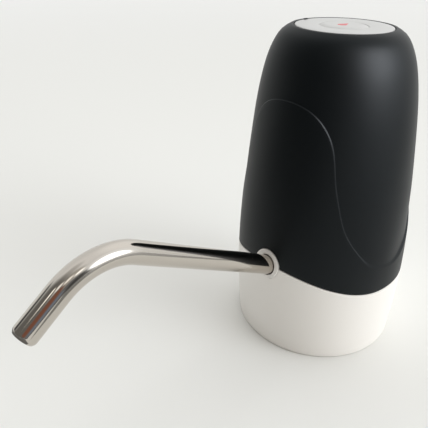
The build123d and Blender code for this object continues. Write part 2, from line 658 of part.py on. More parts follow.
def pump_body():
    """The pump's housing: two meeting round chambers, an outlet spigot and a seat for the shaft seal."""
    front = PUMP_CENTRE_Y - PUMP_RADIUS
    chamber = GEAR_OUTER_RADIUS + GEAR_TIP_PLAY
    shaft_hole = SHAFT_RADIUS + RUNNING_GAP
    body = oval(PUMP_RADIUS, CAVITY_LOW, PUMP_HIGH)
    body += pump_ears(CAVITY_LOW, CAVITY_LOW + PUMP_COVER_WALL)
    body += along_y(SPIGOT_RADIUS, front - SPIGOT_LENGTH, front + PUMP_RADIUS / 2)
    body -= rod(chamber, CAVITY_LOW - OVERRUN, CAVITY_HIGH, DRIVE_X, PUMP_CENTRE_Y)
    body -= rod(chamber, CAVITY_LOW - OVERRUN, CAVITY_HIGH, IDLER_X, PUMP_CENTRE_Y)
    body -= rod(PUMP_PORT_RADIUS, CAVITY_LOW - OVERRUN, CAVITY_HIGH, 0, PUMP_CENTRE_Y + PUMP_PORT_REACH)
    body -= along_y(SPIGOT_BORE, -BODY_RADIUS, PUMP_CENTRE_Y - GEAR_MODULE)
    body -= rod(shaft_hole, CAVITY_HIGH - OVERRUN, PUMP_HIGH + OVERRUN, DRIVE_X, PUMP_CENTRE_Y)
    body -= rod(SEAL_RADIUS, seal_low() - SEAT_GAP, PUMP_HIGH + OVERRUN, DRIVE_X, PUMP_CENTRE_Y)
    pin_hole = IDLER_PIN_RADIUS + RUNNING_GAP / 2
    body -= rod(pin_hole, CAVITY_HIGH - OVERRUN, CAVITY_HIGH + IDLER_PIN_SEAT, IDLER_X, PUMP_CENTRE_Y)
    for x, y in pump_screw_places():
        body -= rod(SCREW_RADIUS + SCREW_HOLE_GAP, CAVITY_LOW - OVERRUN, CAVITY_HIGH + OVERRUN, x, y)
    return body


def pump_cover():
    """The pump's lower plate, with the inlet tube that goes down into the bottle's neck."""
    inlet_y = PUMP_CENTRE_Y + PUMP_PORT_REACH
    cover = oval(PUMP_RADIUS, COVER_LOW, CAVITY_LOW) + pump_ears(COVER_LOW, CAVITY_LOW)
    inlet = rod(INLET_RADIUS, INLET_LOW, CAVITY_LOW, 0, inlet_y)
    cover += fillet(inlet.edges().filter_by(GeomType.CIRCLE).sort_by(Axis.Z)[0], INLET_EDGE)
    cover += rod(INLET_SHOULDER_RADIUS, SKIRT_HEIGHT, CAVITY_LOW, 0, inlet_y)
    cover -= rod(INLET_BORE, INLET_LOW - OVERRUN, CAVITY_LOW - PUMP_COVER_WALL / 2, 0, inlet_y)
    cover -= rod(PUMP_PORT_RADIUS, INLET_LOW, CAVITY_LOW + OVERRUN, 0, inlet_y)
    pin_hole = IDLER_PIN_RADIUS + RUNNING_GAP / 2
    cover -= rod(pin_hole, CAVITY_LOW - IDLER_PIN_SEAT, CAVITY_LOW + OVERRUN, IDLER_X, PUMP_CENTRE_Y)
    for x, y in pump_screw_places():
        cover -= rod(SCREW_RADIUS + SCREW_HOLE_GAP, COVER_LOW - OVERRUN, CAVITY_LOW + OVERRUN, x, y)
    return cover


def involute_point(base_radius, radius, turn):
    """A point of an involute flank at a radius, turned about the gear's axis."""
    pressure = acos(base_radius / radius)
    angle = turn + tan(pressure) - pressure
    return (radius * cos(angle), radius * sin(angle))


def gear(bore_radius):
    """A spur gear with involute flanks, a tooth on +X."""
    pressure = radians(GEAR_PRESSURE_ANGLE)
    base_radius = GEAR_PITCH_RADIUS * cos(pressure)
    root_radius = GEAR_PITCH_RADIUS - GEAR_DEDENDUM_SHARE * GEAR_MODULE
    half = pi / (2 * GEAR_TEETH) - GEAR_BACKLASH / (2 * GEAR_PITCH_RADIUS)
    turn = -half - (tan(pressure) - pressure)
    middle_radius = (base_radius + GEAR_OUTER_RADIUS) / 2
    low = [involute_point(base_radius, r, turn) for r in (base_radius, middle_radius, GEAR_OUTER_RADIUS)]
    high = [(x, -y) for x, y in reversed(low)]
    tooth = Spline(*low) + Line(low[-1], high[0]) + Spline(*high) + Polyline(high[-1], (0, 0), low[0])
    face = Circle(root_radius)
    for k in range(GEAR_TEETH):
        face += Rot(0, 0, 360 * k / GEAR_TEETH) * make_face(tooth)
    return extrude(face - Circle(bore_radius), GEAR_WIDTH)


def drive_gear():
    """The gear on the motor's shaft."""
    return Pos(DRIVE_X, PUMP_CENTRE_Y, CAVITY_LOW + GEAR_SIDE_PLAY) * gear(SHAFT_RADIUS + RUNNING_GAP / 2)


def idler_gear():
    """The second gear, turned by half a tooth so that it meshes."""
    turned = Rot(0, 0, 360 / GEAR_TEETH / 2) * gear(IDLER_PIN_RADIUS + RUNNING_GAP)
    return Pos(IDLER_X, PUMP_CENTRE_Y, CAVITY_LOW + GEAR_SIDE_PLAY) * turned


def idler_pin():
    """The fixed pin that the second gear turns on."""
    low = CAVITY_LOW - IDLER_PIN_SEAT
    return rod(IDLER_PIN_RADIUS, low, CAVITY_HIGH + IDLER_PIN_SEAT, IDLER_X, PUMP_CENTRE_Y)


def seal_low():
    """The height of the shaft seal's underside."""
    return PUMP_HIGH - SEAL_HEIGHT


def shaft_seal():
    """The rubber seal round the motor's shaft."""
    outer = SEAL_RADIUS - RUNNING_GAP
    return ring(outer, SHAFT_RADIUS + RUNNING_GAP, seal_low(), PUMP_HIGH, DRIVE_X, PUMP_CENTRE_Y)


def pump_screws():
    """Two screws down through the pump's ears."""
    low = CAVITY_LOW + PUMP_COVER_WALL
    return group(screw(low, low - CEILING_LOW, x, y, up=False) for x, y in pump_screw_places())


# The motor

def at_motor(shape):
    """Moves a shape from the Z axis onto the motor's axis."""
    return Pos(DRIVE_X, PUMP_CENTRE_Y, 0) * shape


def motor_can():
    """The motor's steel can, closed below and open above."""
    can = rod(MOTOR_RADIUS, MOTOR_LOW, MOTOR_HIGH)
    can = fillet(can.edges().filter_by(GeomType.CIRCLE).sort_by(Axis.Z)[0], MOTOR_WALL)
    can -= rod(MOTOR_RADIUS - MOTOR_WALL, MOTOR_LOW + MOTOR_WALL, MOTOR_HIGH + OVERRUN)
    can -= rod(BUSHING_RADIUS, MOTOR_LOW - OVERRUN, MOTOR_HIGH)
    return at_motor(can)


def motor_magnets():
    """Two curved magnets inside the can."""
    outer = MOTOR_RADIUS - MOTOR_WALL - RUNNING_GAP
    low = MOTOR_LOW + ARMATURE_LOW - (MAGNET_LENGTH - ARMATURE_LENGTH) / 2
    whole = ring(outer, outer - MAGNET_WALL, low, low + MAGNET_LENGTH)
    gap_angle = radians((180 - MAGNET_ARC) / 2)
    half_gap = outer * sin(gap_angle)
    sides = [whole & block(half_gap, outer, -outer, outer, low, low + MAGNET_LENGTH),
             whole & block(-outer, -half_gap, -outer, outer, low, low + MAGNET_LENGTH)]
    return group(at_motor(side) for side in sides)


def motor_armature():
    """The turning part: shaft, slotted iron core and commutator."""
    low = MOTOR_LOW + ARMATURE_LOW
    high = low + ARMATURE_LENGTH
    core = rod(ARMATURE_RADIUS, low, high)
    depth = ARMATURE_RADIUS - ARMATURE_SLOT_DEPTH
    for k in range(ARMATURE_SLOT_COUNT):
        slot = block(depth, ARMATURE_RADIUS + OVERRUN, -ARMATURE_SLOT / 2, ARMATURE_SLOT / 2, low, high)
        core -= Rot(0, 0, 360 * k / ARMATURE_SLOT_COUNT) * slot
    shaft = rod(SHAFT_RADIUS, SHAFT_LOW, SHAFT_HIGH)
    commutator_low = high + PIECE_GAP
    commutator = rod(COMMUTATOR_RADIUS, commutator_low, commutator_low + COMMUTATOR_LENGTH)
    neck = rod(COMMUTATOR_RADIUS / 2, high - RUNNING_GAP, commutator_low + RUNNING_GAP)
    return at_motor(core + shaft + neck + commutator)


def motor_bushings():
    """The two sleeves that the shaft turns in."""
    inner = SHAFT_RADIUS + RUNNING_GAP
    outer = BUSHING_RADIUS - RUNNING_GAP
    lower = ring(outer, inner, MOTOR_LOW, MOTOR_LOW + BUSHING_LENGTH)
    upper = ring(outer, inner, END_CAP_HIGH - BUSHING_LENGTH, END_CAP_HIGH)
    return group([at_motor(lower), at_motor(upper)])


def motor_end_cap():
    """The plastic cap on top of the can, with two terminals."""
    cap = rod(MOTOR_RADIUS - MOTOR_WALL - RUNNING_GAP, MOTOR_HIGH - END_CAP_WALL / 2, END_CAP_HIGH)
    cap += rod(MOTOR_RADIUS - MOTOR_WALL / 2, MOTOR_HIGH + SEAT_GAP, END_CAP_HIGH)
    cap -= rod(BUSHING_RADIUS, MOTOR_LOW, END_CAP_HIGH + OVERRUN)
    for side in (-1, 1):
        cap += rod(TERMINAL_RADIUS, END_CAP_HIGH, END_CAP_HIGH + TERMINAL_HEIGHT, side * TERMINAL_REACH, 0)
    return at_motor(cap)


# The battery

def battery_cell():
    """The round rechargeable cell, standing upright."""
    cell = rod(CELL_RADIUS, CELL_LOW, CELL_HIGH - CELL_NIPPLE_HEIGHT, CELL_X, PUMP_CENTRE_Y)
    cell = fillet(cell.edges().filter_by(GeomType.CIRCLE), CELL_EDGE)
    nipple_low = CELL_HIGH - CELL_NIPPLE_HEIGHT - OVERRUN
    return cell + rod(CELL_NIPPLE_RADIUS, nipple_low, CELL_HIGH, CELL_X, PUMP_CENTRE_Y)


def battery_contacts():
    """Metal strips under the cell and over its nipple."""
    half = CONTACT_WIDTH / 2
    low_z = CELL_LOW - SEAT_GAP - CONTACT_WALL
    high_z = CELL_HIGH + SEAT_GAP
    back = PUMP_CENTRE_Y + half
    lower = block(CELL_X - half, CELL_X + half, cell_tab_front(), back, low_z, low_z + CONTACT_WALL)
    upper = block(CELL_X - half, CELL_X + half, PUMP_CENTRE_Y - half, back, high_z, high_z + CONTACT_WALL)
    return group([lower, upper])


def cell_tab_front():
    """Where the lower strip ends, in front of the cup's wall."""
    return PUMP_CENTRE_Y - CELL_RADIUS - PIECE_GAP - CUP_WALL - CONTACT_TAB


# The frame

def cup_floor_high():
    """The height of the cup's floor."""
    return CELL_LOW - 2 * SEAT_GAP - CONTACT_WALL


def inner_frame():
    """The moulded frame: foot ring, battery cup, motor clamp, columns and the deck under the board."""
    low = FRAME_FOOT_LOW
    high = FRAME_FOOT_HIGH
    foot = ring(FRAME_FOOT_OUTER, FRAME_FOOT_INNER, low, high)
    foot -= block(-BODY_RADIUS, BODY_RADIUS, -BODY_RADIUS, -FRAME_FOOT_FRONT, low, high)
    frame = foot + frame_cup() + frame_clamp() + frame_column()
    frame += [frame_posts(), frame_deck(), charge_posts()]
    frame &= domed_body(SHELL_INNER_RADIUS - PIECE_GAP, LEDGE_RADIUS - PIECE_GAP, WIDE_HEIGHT, LEDGE_LOW)
    for x, y in frame_screw_places():
        frame -= rod(SCREW_RADIUS + SCREW_HOLE_GAP, low - OVERRUN, high + OVERRUN, x, y)
    for x, y in boss_places():
        frame -= rod(SCREW_RADIUS, DECK_LOW - OVERRUN, BOARD_LOW, x, y)
    return frame


def frame_cup():
    """The cup round the cell, and its leg down to the foot."""
    inner = CELL_RADIUS + PIECE_GAP
    outer = inner + CUP_WALL
    floor_high = cup_floor_high()
    low = floor_high - CUP_FLOOR
    cup = rod(outer, low, CUP_HIGH, CELL_X, PUMP_CENTRE_Y)
    leg = ring(outer, inner, FRAME_FOOT_LOW, low + CUP_FLOOR, CELL_X, PUMP_CENTRE_Y)
    reach = CELL_X + inner / 2
    leg &= block(reach, BODY_RADIUS, -BODY_RADIUS, BODY_RADIUS, 0, BODY_HEIGHT)
    cup = cup - rod(inner, floor_high, BODY_HEIGHT, CELL_X, PUMP_CENTRE_Y)
    half = CONTACT_WIDTH / 2 + PIECE_GAP
    slot_high = CELL_LOW + CONTACT_WALL
    cup -= block(CELL_X - half, CELL_X + half, cell_tab_front(), PUMP_CENTRE_Y, floor_high, slot_high)
    return cup + leg


def frame_clamp():
    """The split collar that holds the motor, joined to the cup and the column."""
    inner = MOTOR_RADIUS + PIECE_GAP
    high = CLAMP_LOW + CLAMP_HEIGHT
    collar = ring(inner + CLAMP_WALL, inner, CLAMP_LOW, high, DRIVE_X, PUMP_CENTRE_Y)
    arm = block(COLUMN_X, DRIVE_X - inner - CLAMP_WALL / 2, PUMP_CENTRE_Y - CLAMP_WALL,
                PUMP_CENTRE_Y + CLAMP_WALL, CLAMP_LOW, high)
    collar -= rod(CELL_RADIUS + PIECE_GAP, 0, BODY_HEIGHT, CELL_X, PUMP_CENTRE_Y)
    return collar + arm


def frame_column():
    """The upright on the side away from the cell."""
    half = COLUMN_WIDTH / 2
    y_low = PUMP_CENTRE_Y - half
    y_high = PUMP_CENTRE_Y + half
    upright = block(COLUMN_X, COLUMN_X + COLUMN_WALL, y_low, y_high, FRAME_FOOT_LOW, DECK_LOW + SEAT_GAP)
    shoe = block(-FRAME_FOOT_INNER - COLUMN_WALL, COLUMN_X + COLUMN_WALL, y_low, y_high,
                 FRAME_FOOT_LOW, FRAME_FOOT_HIGH)
    return upright + shoe


def frame_posts():
    """The two round posts under the deck beside the cell."""
    posts = []
    for y in (-POST_Y, POST_Y):
        posts.append(rod(POST_RADIUS, FRAME_FOOT_LOW, DECK_LOW + SEAT_GAP, POST_X, y))
        posts.append(rod(POST_FOOT_RADIUS, FRAME_FOOT_LOW, FRAME_FOOT_HIGH, POST_X, y))
    return posts[0] + posts[1:]


def boss_places():
    """The bosses that carry the button board."""
    return round_places(BOSS_CIRCLE, BOSS_COUNT, 360 / BOSS_COUNT / 4)


def frame_deck():
    """The round deck with its bosses, a middle window and holes for the wires."""
    deck = rod(DECK_RADIUS, DECK_LOW, DECK_LOW + DECK_WALL)
    for x, y in boss_places():
        deck += rod(BOSS_RADIUS, DECK_LOW, BOARD_LOW - SEAT_GAP, x, y)
    deck -= rod(DECK_WINDOW_RADIUS, DECK_LOW - OVERRUN, BOARD_LOW, DRIVE_X, 0)
    for x, y in charge_wire_places() + cell_wire_places():
        deck -= rod(WIRE_RADIUS + WIRE_HOLE_GAP, DECK_LOW - OVERRUN, BOARD_LOW, x, y)
    return deck


def charge_posts():
    """The two posts that carry the charging board."""
    high = CHARGE_BOARD_LOW - SEAT_GAP
    left = rod(CHARGE_POST_RADIUS, FRAME_FOOT_LOW, high, -CHARGE_POST_X, CHARGE_POST_Y)
    right = rod(CHARGE_POST_RADIUS, FRAME_FOOT_LOW, high, CHARGE_POST_X, CHARGE_POST_Y)
    holes = [rod(SCREW_RADIUS, high - 2 * SCREW_LENGTH, high + OVERRUN, x, CHARGE_POST_Y)
             for x in (-CHARGE_POST_X, CHARGE_POST_X)]
    return left + right - holes[0] - holes[1]


def frame_screws():
    """The screws down through the frame's foot."""
    return group(screw(FRAME_FOOT_HIGH, SCREW_LENGTH, x, y, up=False) for x, y in frame_screw_places())


# The boards

def charge_board():
    """The small board that carries the charging socket."""
    half = CHARGE_BOARD_WIDTH / 2
    board = block(-half, half, CHARGE_BOARD_FRONT, CHARGE_BOARD_BACK, CHARGE_BOARD_LOW, CHARGE_BOARD_HIGH)
    for x in (-CHARGE_POST_X, CHARGE_POST_X):
        board -= rod(SCREW_RADIUS + SCREW_HOLE_GAP, 0, BODY_HEIGHT, x, CHARGE_POST_Y)
    return board


def charge_socket():
    """The small metal charging socket with its tongue."""
    low = PORT_HEIGHT - USB_HEIGHT / 2
    high = PORT_HEIGHT + USB_HEIGHT / 2
    half = USB_WIDTH / 2
    can = block(-half, half, USB_BACK - USB_DEPTH, USB_BACK, low, high)
    can = fillet(can.edges().filter_by(Axis.Y), USB_WALL)
    inner = block(-half + USB_WALL, half - USB_WALL, USB_BACK - USB_DEPTH + USB_WALL, USB_BACK + OVERRUN,
                  low + USB_WALL, high - USB_WALL)
    tongue = block(-half / 2, half / 2, USB_BACK - USB_DEPTH, USB_BACK - USB_WALL,
                   PORT_HEIGHT - USB_TONGUE_WALL / 2, PORT_HEIGHT + USB_TONGUE_WALL / 2)
    return can - inner + tongue


def charge_screws():
    """Two screws through the charging board into its posts."""
    places = [(-CHARGE_POST_X, CHARGE_POST_Y), (CHARGE_POST_X, CHARGE_POST_Y)]
    return group(screw(CHARGE_BOARD_HIGH, SCREW_LENGTH, x, y, up=False) for x, y in places)


def button_board():
    """The round board under the button."""
    board = rod(BOARD_RADIUS, BOARD_LOW, BOARD_HIGH)
    for x, y in boss_places():
        board -= rod(SCREW_RADIUS + SCREW_HOLE_GAP, BOARD_LOW - OVERRUN, BOARD_HIGH + OVERRUN, x, y)
    return board


def board_screws():
    """Three screws that hold the button board."""
    return group(screw(BOARD_HIGH, SCREW_LENGTH, x, y, up=False) for x, y in boss_places())


def tact_switch():
    """The switch's square body, with a well for its plunger."""
    half = SWITCH_SIDE / 2
    body = block(-half, half, -half, half, SWITCH_LOW, SWITCH_HIGH)
    return body - rod(PLUNGER_RADIUS + RUNNING_GAP, SWITCH_LOW + PLUNGER_FOOT, SWITCH_HIGH + OVERRUN)


def switch_plunger():
    """The switch's round plunger, which the button's stem pushes."""
    low = SWITCH_LOW + PLUNGER_FOOT + BUTTON_TRAVEL + PIECE_GAP
    return rod(PLUNGER_RADIUS, low, PLUNGER_TOP)


def status_led():
    """The light on the board under the lens."""
    body = rod(LED_RADIUS, SWITCH_LOW, SWITCH_LOW + LED_HEIGHT - LED_RADIUS, -LENS_REACH, 0)
    return body + Pos(-LENS_REACH, 0, SWITCH_LOW + LED_HEIGHT - LED_RADIUS) * Sphere(LED_RADIUS)


def lens_bar(wider, low, high):
    """An upright bar of the light guide's rounded section, wider by a distance."""
    face = Pos(-LENS_REACH, 0, low) * Rot(0, 0, 90) * SlotOverall(LENS_LENGTH + wider, LENS_WIDTH + wider)
    return extrude(face, high - low)


def indicator_lens():
    """The small light guide from the light up to the plate."""
    low = SWITCH_LOW + LED_HEIGHT + PIECE_GAP
    return lens_bar(0, low, BODY_HEIGHT - LENS_SET_IN)


# The top

def top_plate():
    """The pale disc round the button, with a small notch for the light guide."""
    plate = ring(PLATE_RADIUS, BUTTON_RADIUS + BUTTON_GAP, PLATE_LOW, BODY_HEIGHT)
    plate = chamfer(plate.edges().filter_by(GeomType.CIRCLE).group_by(Axis.Z)[-1], PLATE_EDGE)
    plate -= lens_bar(PIECE_GAP, PLATE_LOW - OVERRUN, BODY_HEIGHT + OVERRUN)
    return plate


def dish_radius():
    """The radius of the ball that hollows the button's top, from the dish's width and depth."""
    reach = BUTTON_RADIUS - BUTTON_EDGE
    return (reach * reach + BUTTON_DISH_DEPTH * BUTTON_DISH_DEPTH) / (2 * BUTTON_DISH_DEPTH)


def in_dish(shape):
    """Moves a ball from the origin to where it touches the dish's lowest point."""
    return Pos(0, 0, BUTTON_TOP - BUTTON_DISH_DEPTH + dish_radius()) * shape


def push_button():
    """The dished button, with a flange under the plate and a stem down to the switch."""
    cap = rod(BUTTON_RADIUS, BUTTON_FLANGE_LOW, BUTTON_TOP) - in_dish(Sphere(dish_radius()))
    cap += rod(BUTTON_RADIUS + BUTTON_FLANGE, BUTTON_FLANGE_LOW, BUTTON_FLANGE_HIGH)
    return cap + rod(BUTTON_STEM_RADIUS, PLUNGER_TOP + SEAT_GAP, BUTTON_FLANGE_LOW)


def drop_face():
    """A plain water drop: a round foot and two sides that meet in a point."""
    lift = MARK_HEIGHT - MARK_RADIUS
    angle = acos(MARK_RADIUS / lift)
    x = MARK_RADIUS * sin(angle)
    y = MARK_RADIUS * cos(angle)
    foot = ThreePointArc((-x, y), (0, -MARK_RADIUS), (x, y))
    return Pos(0, MARK_RADIUS - MARK_HEIGHT / 2) * make_face(foot + Polyline((x, y), (0, lift), (-x, y)))


def button_mark():
    """A thin red drop that lies in the button's dish."""
    low = BUTTON_TOP - BUTTON_DISH_DEPTH - OVERRUN
    prism = Pos(0, 0, low) * extrude(drop_face(), 2 * OVERRUN)
    skin = in_dish(Sphere(dish_radius()) - Sphere(dish_radius() - MARK_WALL))
    return prism & skin


# The wires

def charge_wire_places():
    """The charging board's two wires."""
    return [(-CHARGE_WIRE_X, CHARGE_WIRE_Y), (CHARGE_WIRE_X, CHARGE_WIRE_Y)]


def cell_wire_places():
    """Where the wires from the cell's upper and lower strips come up through the deck."""
    return [(CELL_X - CONTACT_WIDTH / 3, PUMP_CENTRE_Y), (CELL_X, cell_tab_front() + 2 * WIRE_RADIUS)]


def motor_leads():
    """Two wires from the motor's terminals up to the button board."""
    low = END_CAP_HIGH + TERMINAL_HEIGHT + RUNNING_GAP
    high = BOARD_LOW - RUNNING_GAP
    places = [DRIVE_X - TERMINAL_REACH, DRIVE_X + TERMINAL_REACH]
    return group(rod(WIRE_RADIUS, low, high, x, PUMP_CENTRE_Y) for x in places)


def charge_leads():
    """Two wires from the charging board up to the button board."""
    low = CHARGE_BOARD_HIGH + RUNNING_GAP
    high = BOARD_LOW - RUNNING_GAP
    return group(rod(WIRE_RADIUS, low, high, x, y) for x, y in charge_wire_places())


def battery_leads():
    """The wires from the cell's two strips up to the button board."""
    upper, lower = cell_wire_places()
    high = BOARD_LOW - RUNNING_GAP
    from_upper = rod(WIRE_RADIUS, CELL_HIGH + SEAT_GAP + CONTACT_WALL + RUNNING_GAP, high, *upper)
    from_lower = rod(WIRE_RADIUS, CELL_LOW - SEAT_GAP + RUNNING_GAP, high, *lower)
    return group([from_upper, from_lower])


PIECES = [
    outer_shell, base_shell, neck_skirt, neck_gasket, skirt_screws, spout_tube, spout_socket,
    socket_screws, spout_o_rings, outlet_hose, pump_body, pump_cover, drive_gear, idler_gear,
    idler_pin, shaft_seal, pump_screws, motor_can, motor_magnets, motor_armature, motor_bushings,
    motor_end_cap, battery_cell, battery_contacts, inner_frame, frame_screws, charge_board,
    charge_socket, charge_screws, button_board, board_screws, tact_switch, switch_plunger,
    status_led, indicator_lens, top_plate, push_button, button_mark, motor_leads, charge_leads,
    battery_leads,
]


os.makedirs("parts", exist_ok=True)
for piece in PIECES:
    export_step(piece(), f"parts/{piece.__name__}.step")
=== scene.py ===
"""The looks of a pump that stands on the neck of a large water bottle.

The frame holds the pieces at their real size. The operators below model the pieces that show,
give every piece its finish, and set the stage. All lengths are in metres.
"""

import json
import math

import bpy
import numpy as np
from mathutils import Matrix, Vector


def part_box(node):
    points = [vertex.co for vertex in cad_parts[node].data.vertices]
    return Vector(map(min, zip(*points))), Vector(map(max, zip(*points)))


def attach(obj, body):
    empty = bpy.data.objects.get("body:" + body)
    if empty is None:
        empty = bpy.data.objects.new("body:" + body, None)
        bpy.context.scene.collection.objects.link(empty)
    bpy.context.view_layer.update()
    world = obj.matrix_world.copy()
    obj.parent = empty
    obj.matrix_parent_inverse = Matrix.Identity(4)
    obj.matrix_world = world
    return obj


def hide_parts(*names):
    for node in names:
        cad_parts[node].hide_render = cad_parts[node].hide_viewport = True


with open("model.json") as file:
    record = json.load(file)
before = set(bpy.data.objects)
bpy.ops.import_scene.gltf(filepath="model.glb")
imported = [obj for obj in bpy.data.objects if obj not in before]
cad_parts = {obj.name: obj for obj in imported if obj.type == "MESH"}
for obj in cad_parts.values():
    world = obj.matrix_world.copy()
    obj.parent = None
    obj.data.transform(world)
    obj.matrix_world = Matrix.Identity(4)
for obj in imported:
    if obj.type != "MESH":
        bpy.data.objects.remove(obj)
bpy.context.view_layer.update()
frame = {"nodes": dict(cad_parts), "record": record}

bl_info = {
    "name": "Bottle Pump",
    "version": (1, 0, 0),
    "blender": (4, 5, 0),
    "location": "3D View > Sidebar > Bottle Pump",
    "description": "Models and finishes a pump for large water bottles, round its frame",
    "category": "Object",
}

MM = 0.001
BODY_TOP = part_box("outer_shell")[1].z
PLATE_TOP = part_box("top_plate")[1].z
PLATE_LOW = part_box("top_plate")[0].z
PLATE_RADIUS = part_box("top_plate")[1].x
FLANGE_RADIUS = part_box("neck_skirt")[1].x
FLANGE_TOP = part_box("neck_skirt")[1].z

# The outlines, as shares of the sizes below
SIDE_SHARES = [(0, 1), (0.125, 0.996), (0.303, 0.947), (0.619, 0.786), (0.823, 0.609), (0.945, 0.359),
               (0.98, 0.2), (1, 0)]
WAVE_SHARES = [(0, 1), (0.294, 0.956), (0.47, 0.836), (0.57, 0.601), (0.629, 0.454), (0.708, 0.293),
               (0.81, 0.161), (0.867, 0.094), (0.947, 0.027), (1.08, 0)]
WAVE_BACK_SPREAD_SHARE = 1.07
SIDE_RAISE_SHARE = 0.4
BASE_BULGE_SHARE = 0.78


# Sizes and colours

def length(name, millimetres, words):
    """A length property with its default in millimetres."""
    return bpy.props.FloatProperty(name=name, description=words, default=millimetres * MM, unit="LENGTH",
                                   precision=5)


def angle(name, degrees, words):
    """An angle property with its default in degrees."""
    return bpy.props.FloatProperty(name=name, description=words, default=math.radians(degrees),
                                   subtype="ANGLE")


def colour(name, value, words):
    """A colour property."""
    return bpy.props.FloatVectorProperty(name=name, description=words, default=value, size=3, subtype="COLOR",
                                         min=0.0, max=1.0)


def roughness(name, value, words):
    """A roughness property, from mirror to matt."""
    return bpy.props.FloatProperty(name=name, description=words, default=value, subtype="FACTOR",
                                   min=0.0, max=1.0)


class BodySizes(bpy.types.PropertyGroup):
    """The casing's sizes."""
    radius: length("Body radius", 37.7, "The body's widest radius, over the raised lobes")
    wide_height: length("Widest height", 28.8, "The height where the side starts to draw in")
    rim_radius: length("Rim radius", 20.6, "The radius of the rim round the top plate")
    relief: length("Relief", 0.4, "How far the lobes stand out")
    relief_width: length("Relief width", 0.5, "How wide the lobes' rounded edge is")
    trough_width: length("Trough width", 2.4, "How wide that edge is where it runs out at the sides")
    trough_rise: length("Trough rise", 15.0, "How far above its lowest point the edge is narrow again")
    trough_sink: length("Trough sink", 0.5, "How much deeper the shell lies behind that edge")
    sink_rise: length("Sink rise", 24.0, "How far above its lowest point that depth has gone")
    wall: length("Shell wall", 2.4, "The shell's wall")
    wave_top: length("Wave top", 112.1, "The highest point of the lobes' edge")
    wave_tail: length("Wave tail", 44.4, "Where the lobes' edge runs out at the sides")
    ledge_high: length("Ledge height", 134.9, "The ledge that the top plate lies on")
    ledge_radius: length("Ledge radius", 17.0, "The opening inside the ledge")
    ledge_wall: length("Ledge wall", 1.7, "The ledge's thickness")
    plate_gap: length("Plate gap", 0.4, "The gap round the top plate")
    foot_radius: length("Foot radius", 36.0, "The base's radius where it stands")
    foot_edge: length("Foot edge", 0.8, "The rounding of the base's lower edge")
    base_top_radius: length("Base top radius", 37.85, "The base's radius near the shell")
    base_wall: length("Base wall", 2.2, "The base's wall")
    ceiling_low: length("Ceiling", 28.8, "The underside of the base's ceiling")
    ceiling_wall: length("Ceiling wall", 2.2, "The ceiling's thickness")
    lip_rise: length("Lip rise", 3.5, "How far the base's lip reaches up inside the shell")
    lip_wall: length("Lip wall", 1.4, "The lip's thickness")
    split_low: length("Split low", 33.2, "The seam's height at the sides")
    split_high: length("Split high", 42.4, "The seam's height at front and back")
    split_flat: length("Split flat", 15.0, "The seam's level stretch at each side")
    split_gap: length("Split gap", 0.22, "The gap between shell and base")
    edge: length("Edge", 0.35, "The small rounding of moulded edges")
    base_edge: length("Base edge", 0.45, "The rounding of the base's upper edge")


class SpoutSizes(bpy.types.PropertyGroup):
    """The spout's sizes."""
    axis_height: length("Axis height", 21.0, "Where the spout's axis meets the body's axis")
    rise: angle("Rise", 29.0, "How steeply the spout rises outwards")
    bend: angle("Bend", 66.5, "How far the tube turns down")
    tube_radius: length("Tube radius", 4.0, "The tube's outer radius")
    tube_wall: length("Tube wall", 0.5, "The tube's wall")
    inner_end: length("Inner end", 33.6, "Where the tube starts, along its axis")
    straight_end: length("Straight end", 117.7, "Where the bend starts, along its axis")
    bend_radius: length("Bend radius", 23.6, "The radius of the bend's centre line")
    tip_length: length("Tip length", 14.8, "The straight stretch at the tip")
    tip_roll: length("Tip roll", 0.5, "How far the tip's edge is rolled inwards")
    collar_radius: length("Collar radius", 6.0, "The collar's outer radius")
    collar_proud: length("Collar proud", 0.45, "How far the collar stands out of the body")
    collar_lift: length("Collar lift", 0.5, "How far the collar's ring lies above the tube's axis")
    collar_tilt: angle("Collar tilt", 7.6, "How far the collar's face leans back")
    notch_gap: length("Notch gap", 0.35, "The gap between the collar and the shell")


class TopSizes(bpy.types.PropertyGroup):
    """The sizes of the plate, the button and the light."""
    button_radius: length("Button radius", 9.5, "The button's radius")
    button_gap: length("Button gap", 0.05, "The gap round the button")
    button_rise: length("Button rise", 0.35, "How far the button stands above the plate")
    button_fall: length("Button fall", 0.55, "How far the button's rounded edge falls")
    button_flat: length("Button flat", 5.6, "The radius of the button's level middle")
    mark_radius: length("Mark radius", 1.9, "The drop's round foot")
    mark_height: length("Mark height", 6.6, "The drop's whole height")
    lens_length: length("Lens length", 2.4, "The light guide's length along the rim")
    lens_width: length("Lens width", 0.9, "The light guide's width")
    lens_proud: length("Lens proud", 0.45, "How far the light guide stands out of the plate")
    lens_reach: length("Lens reach", 18.8, "The light guide's distance from the body's axis")


class Finishes(bpy.types.PropertyGroup):
    """Colours and roughnesses."""
    shell_colour: colour("Shell", (0.0008, 0.0024, 0.0034), "The soft black of the shell")
    shell_rough: roughness("Shell roughness", 0.47, "How matt the shell is")
    base_colour: colour("Base", (0.89, 0.865, 0.825), "The white of the base")
    base_rough: roughness("Base roughness", 0.38, "How matt the base is")
    plate_colour: colour("Plate", (0.55, 0.55, 0.54), "The silvery grey of the plate")
    mark_colour: colour("Mark", (0.66, 0.055, 0.07), "The red of the drop")
    steel_colour: colour("Steel", (0.57, 0.53, 0.48), "The polished steel")
    steel_rough: roughness("Steel roughness", 0.09, "How polished the steel is")


def sizes():
    """The property groups of the scene."""
    scene = bpy.context.scene
    return scene.pump_body, scene.pump_spout, scene.pump_top, scene.pump_finish


# Outlines

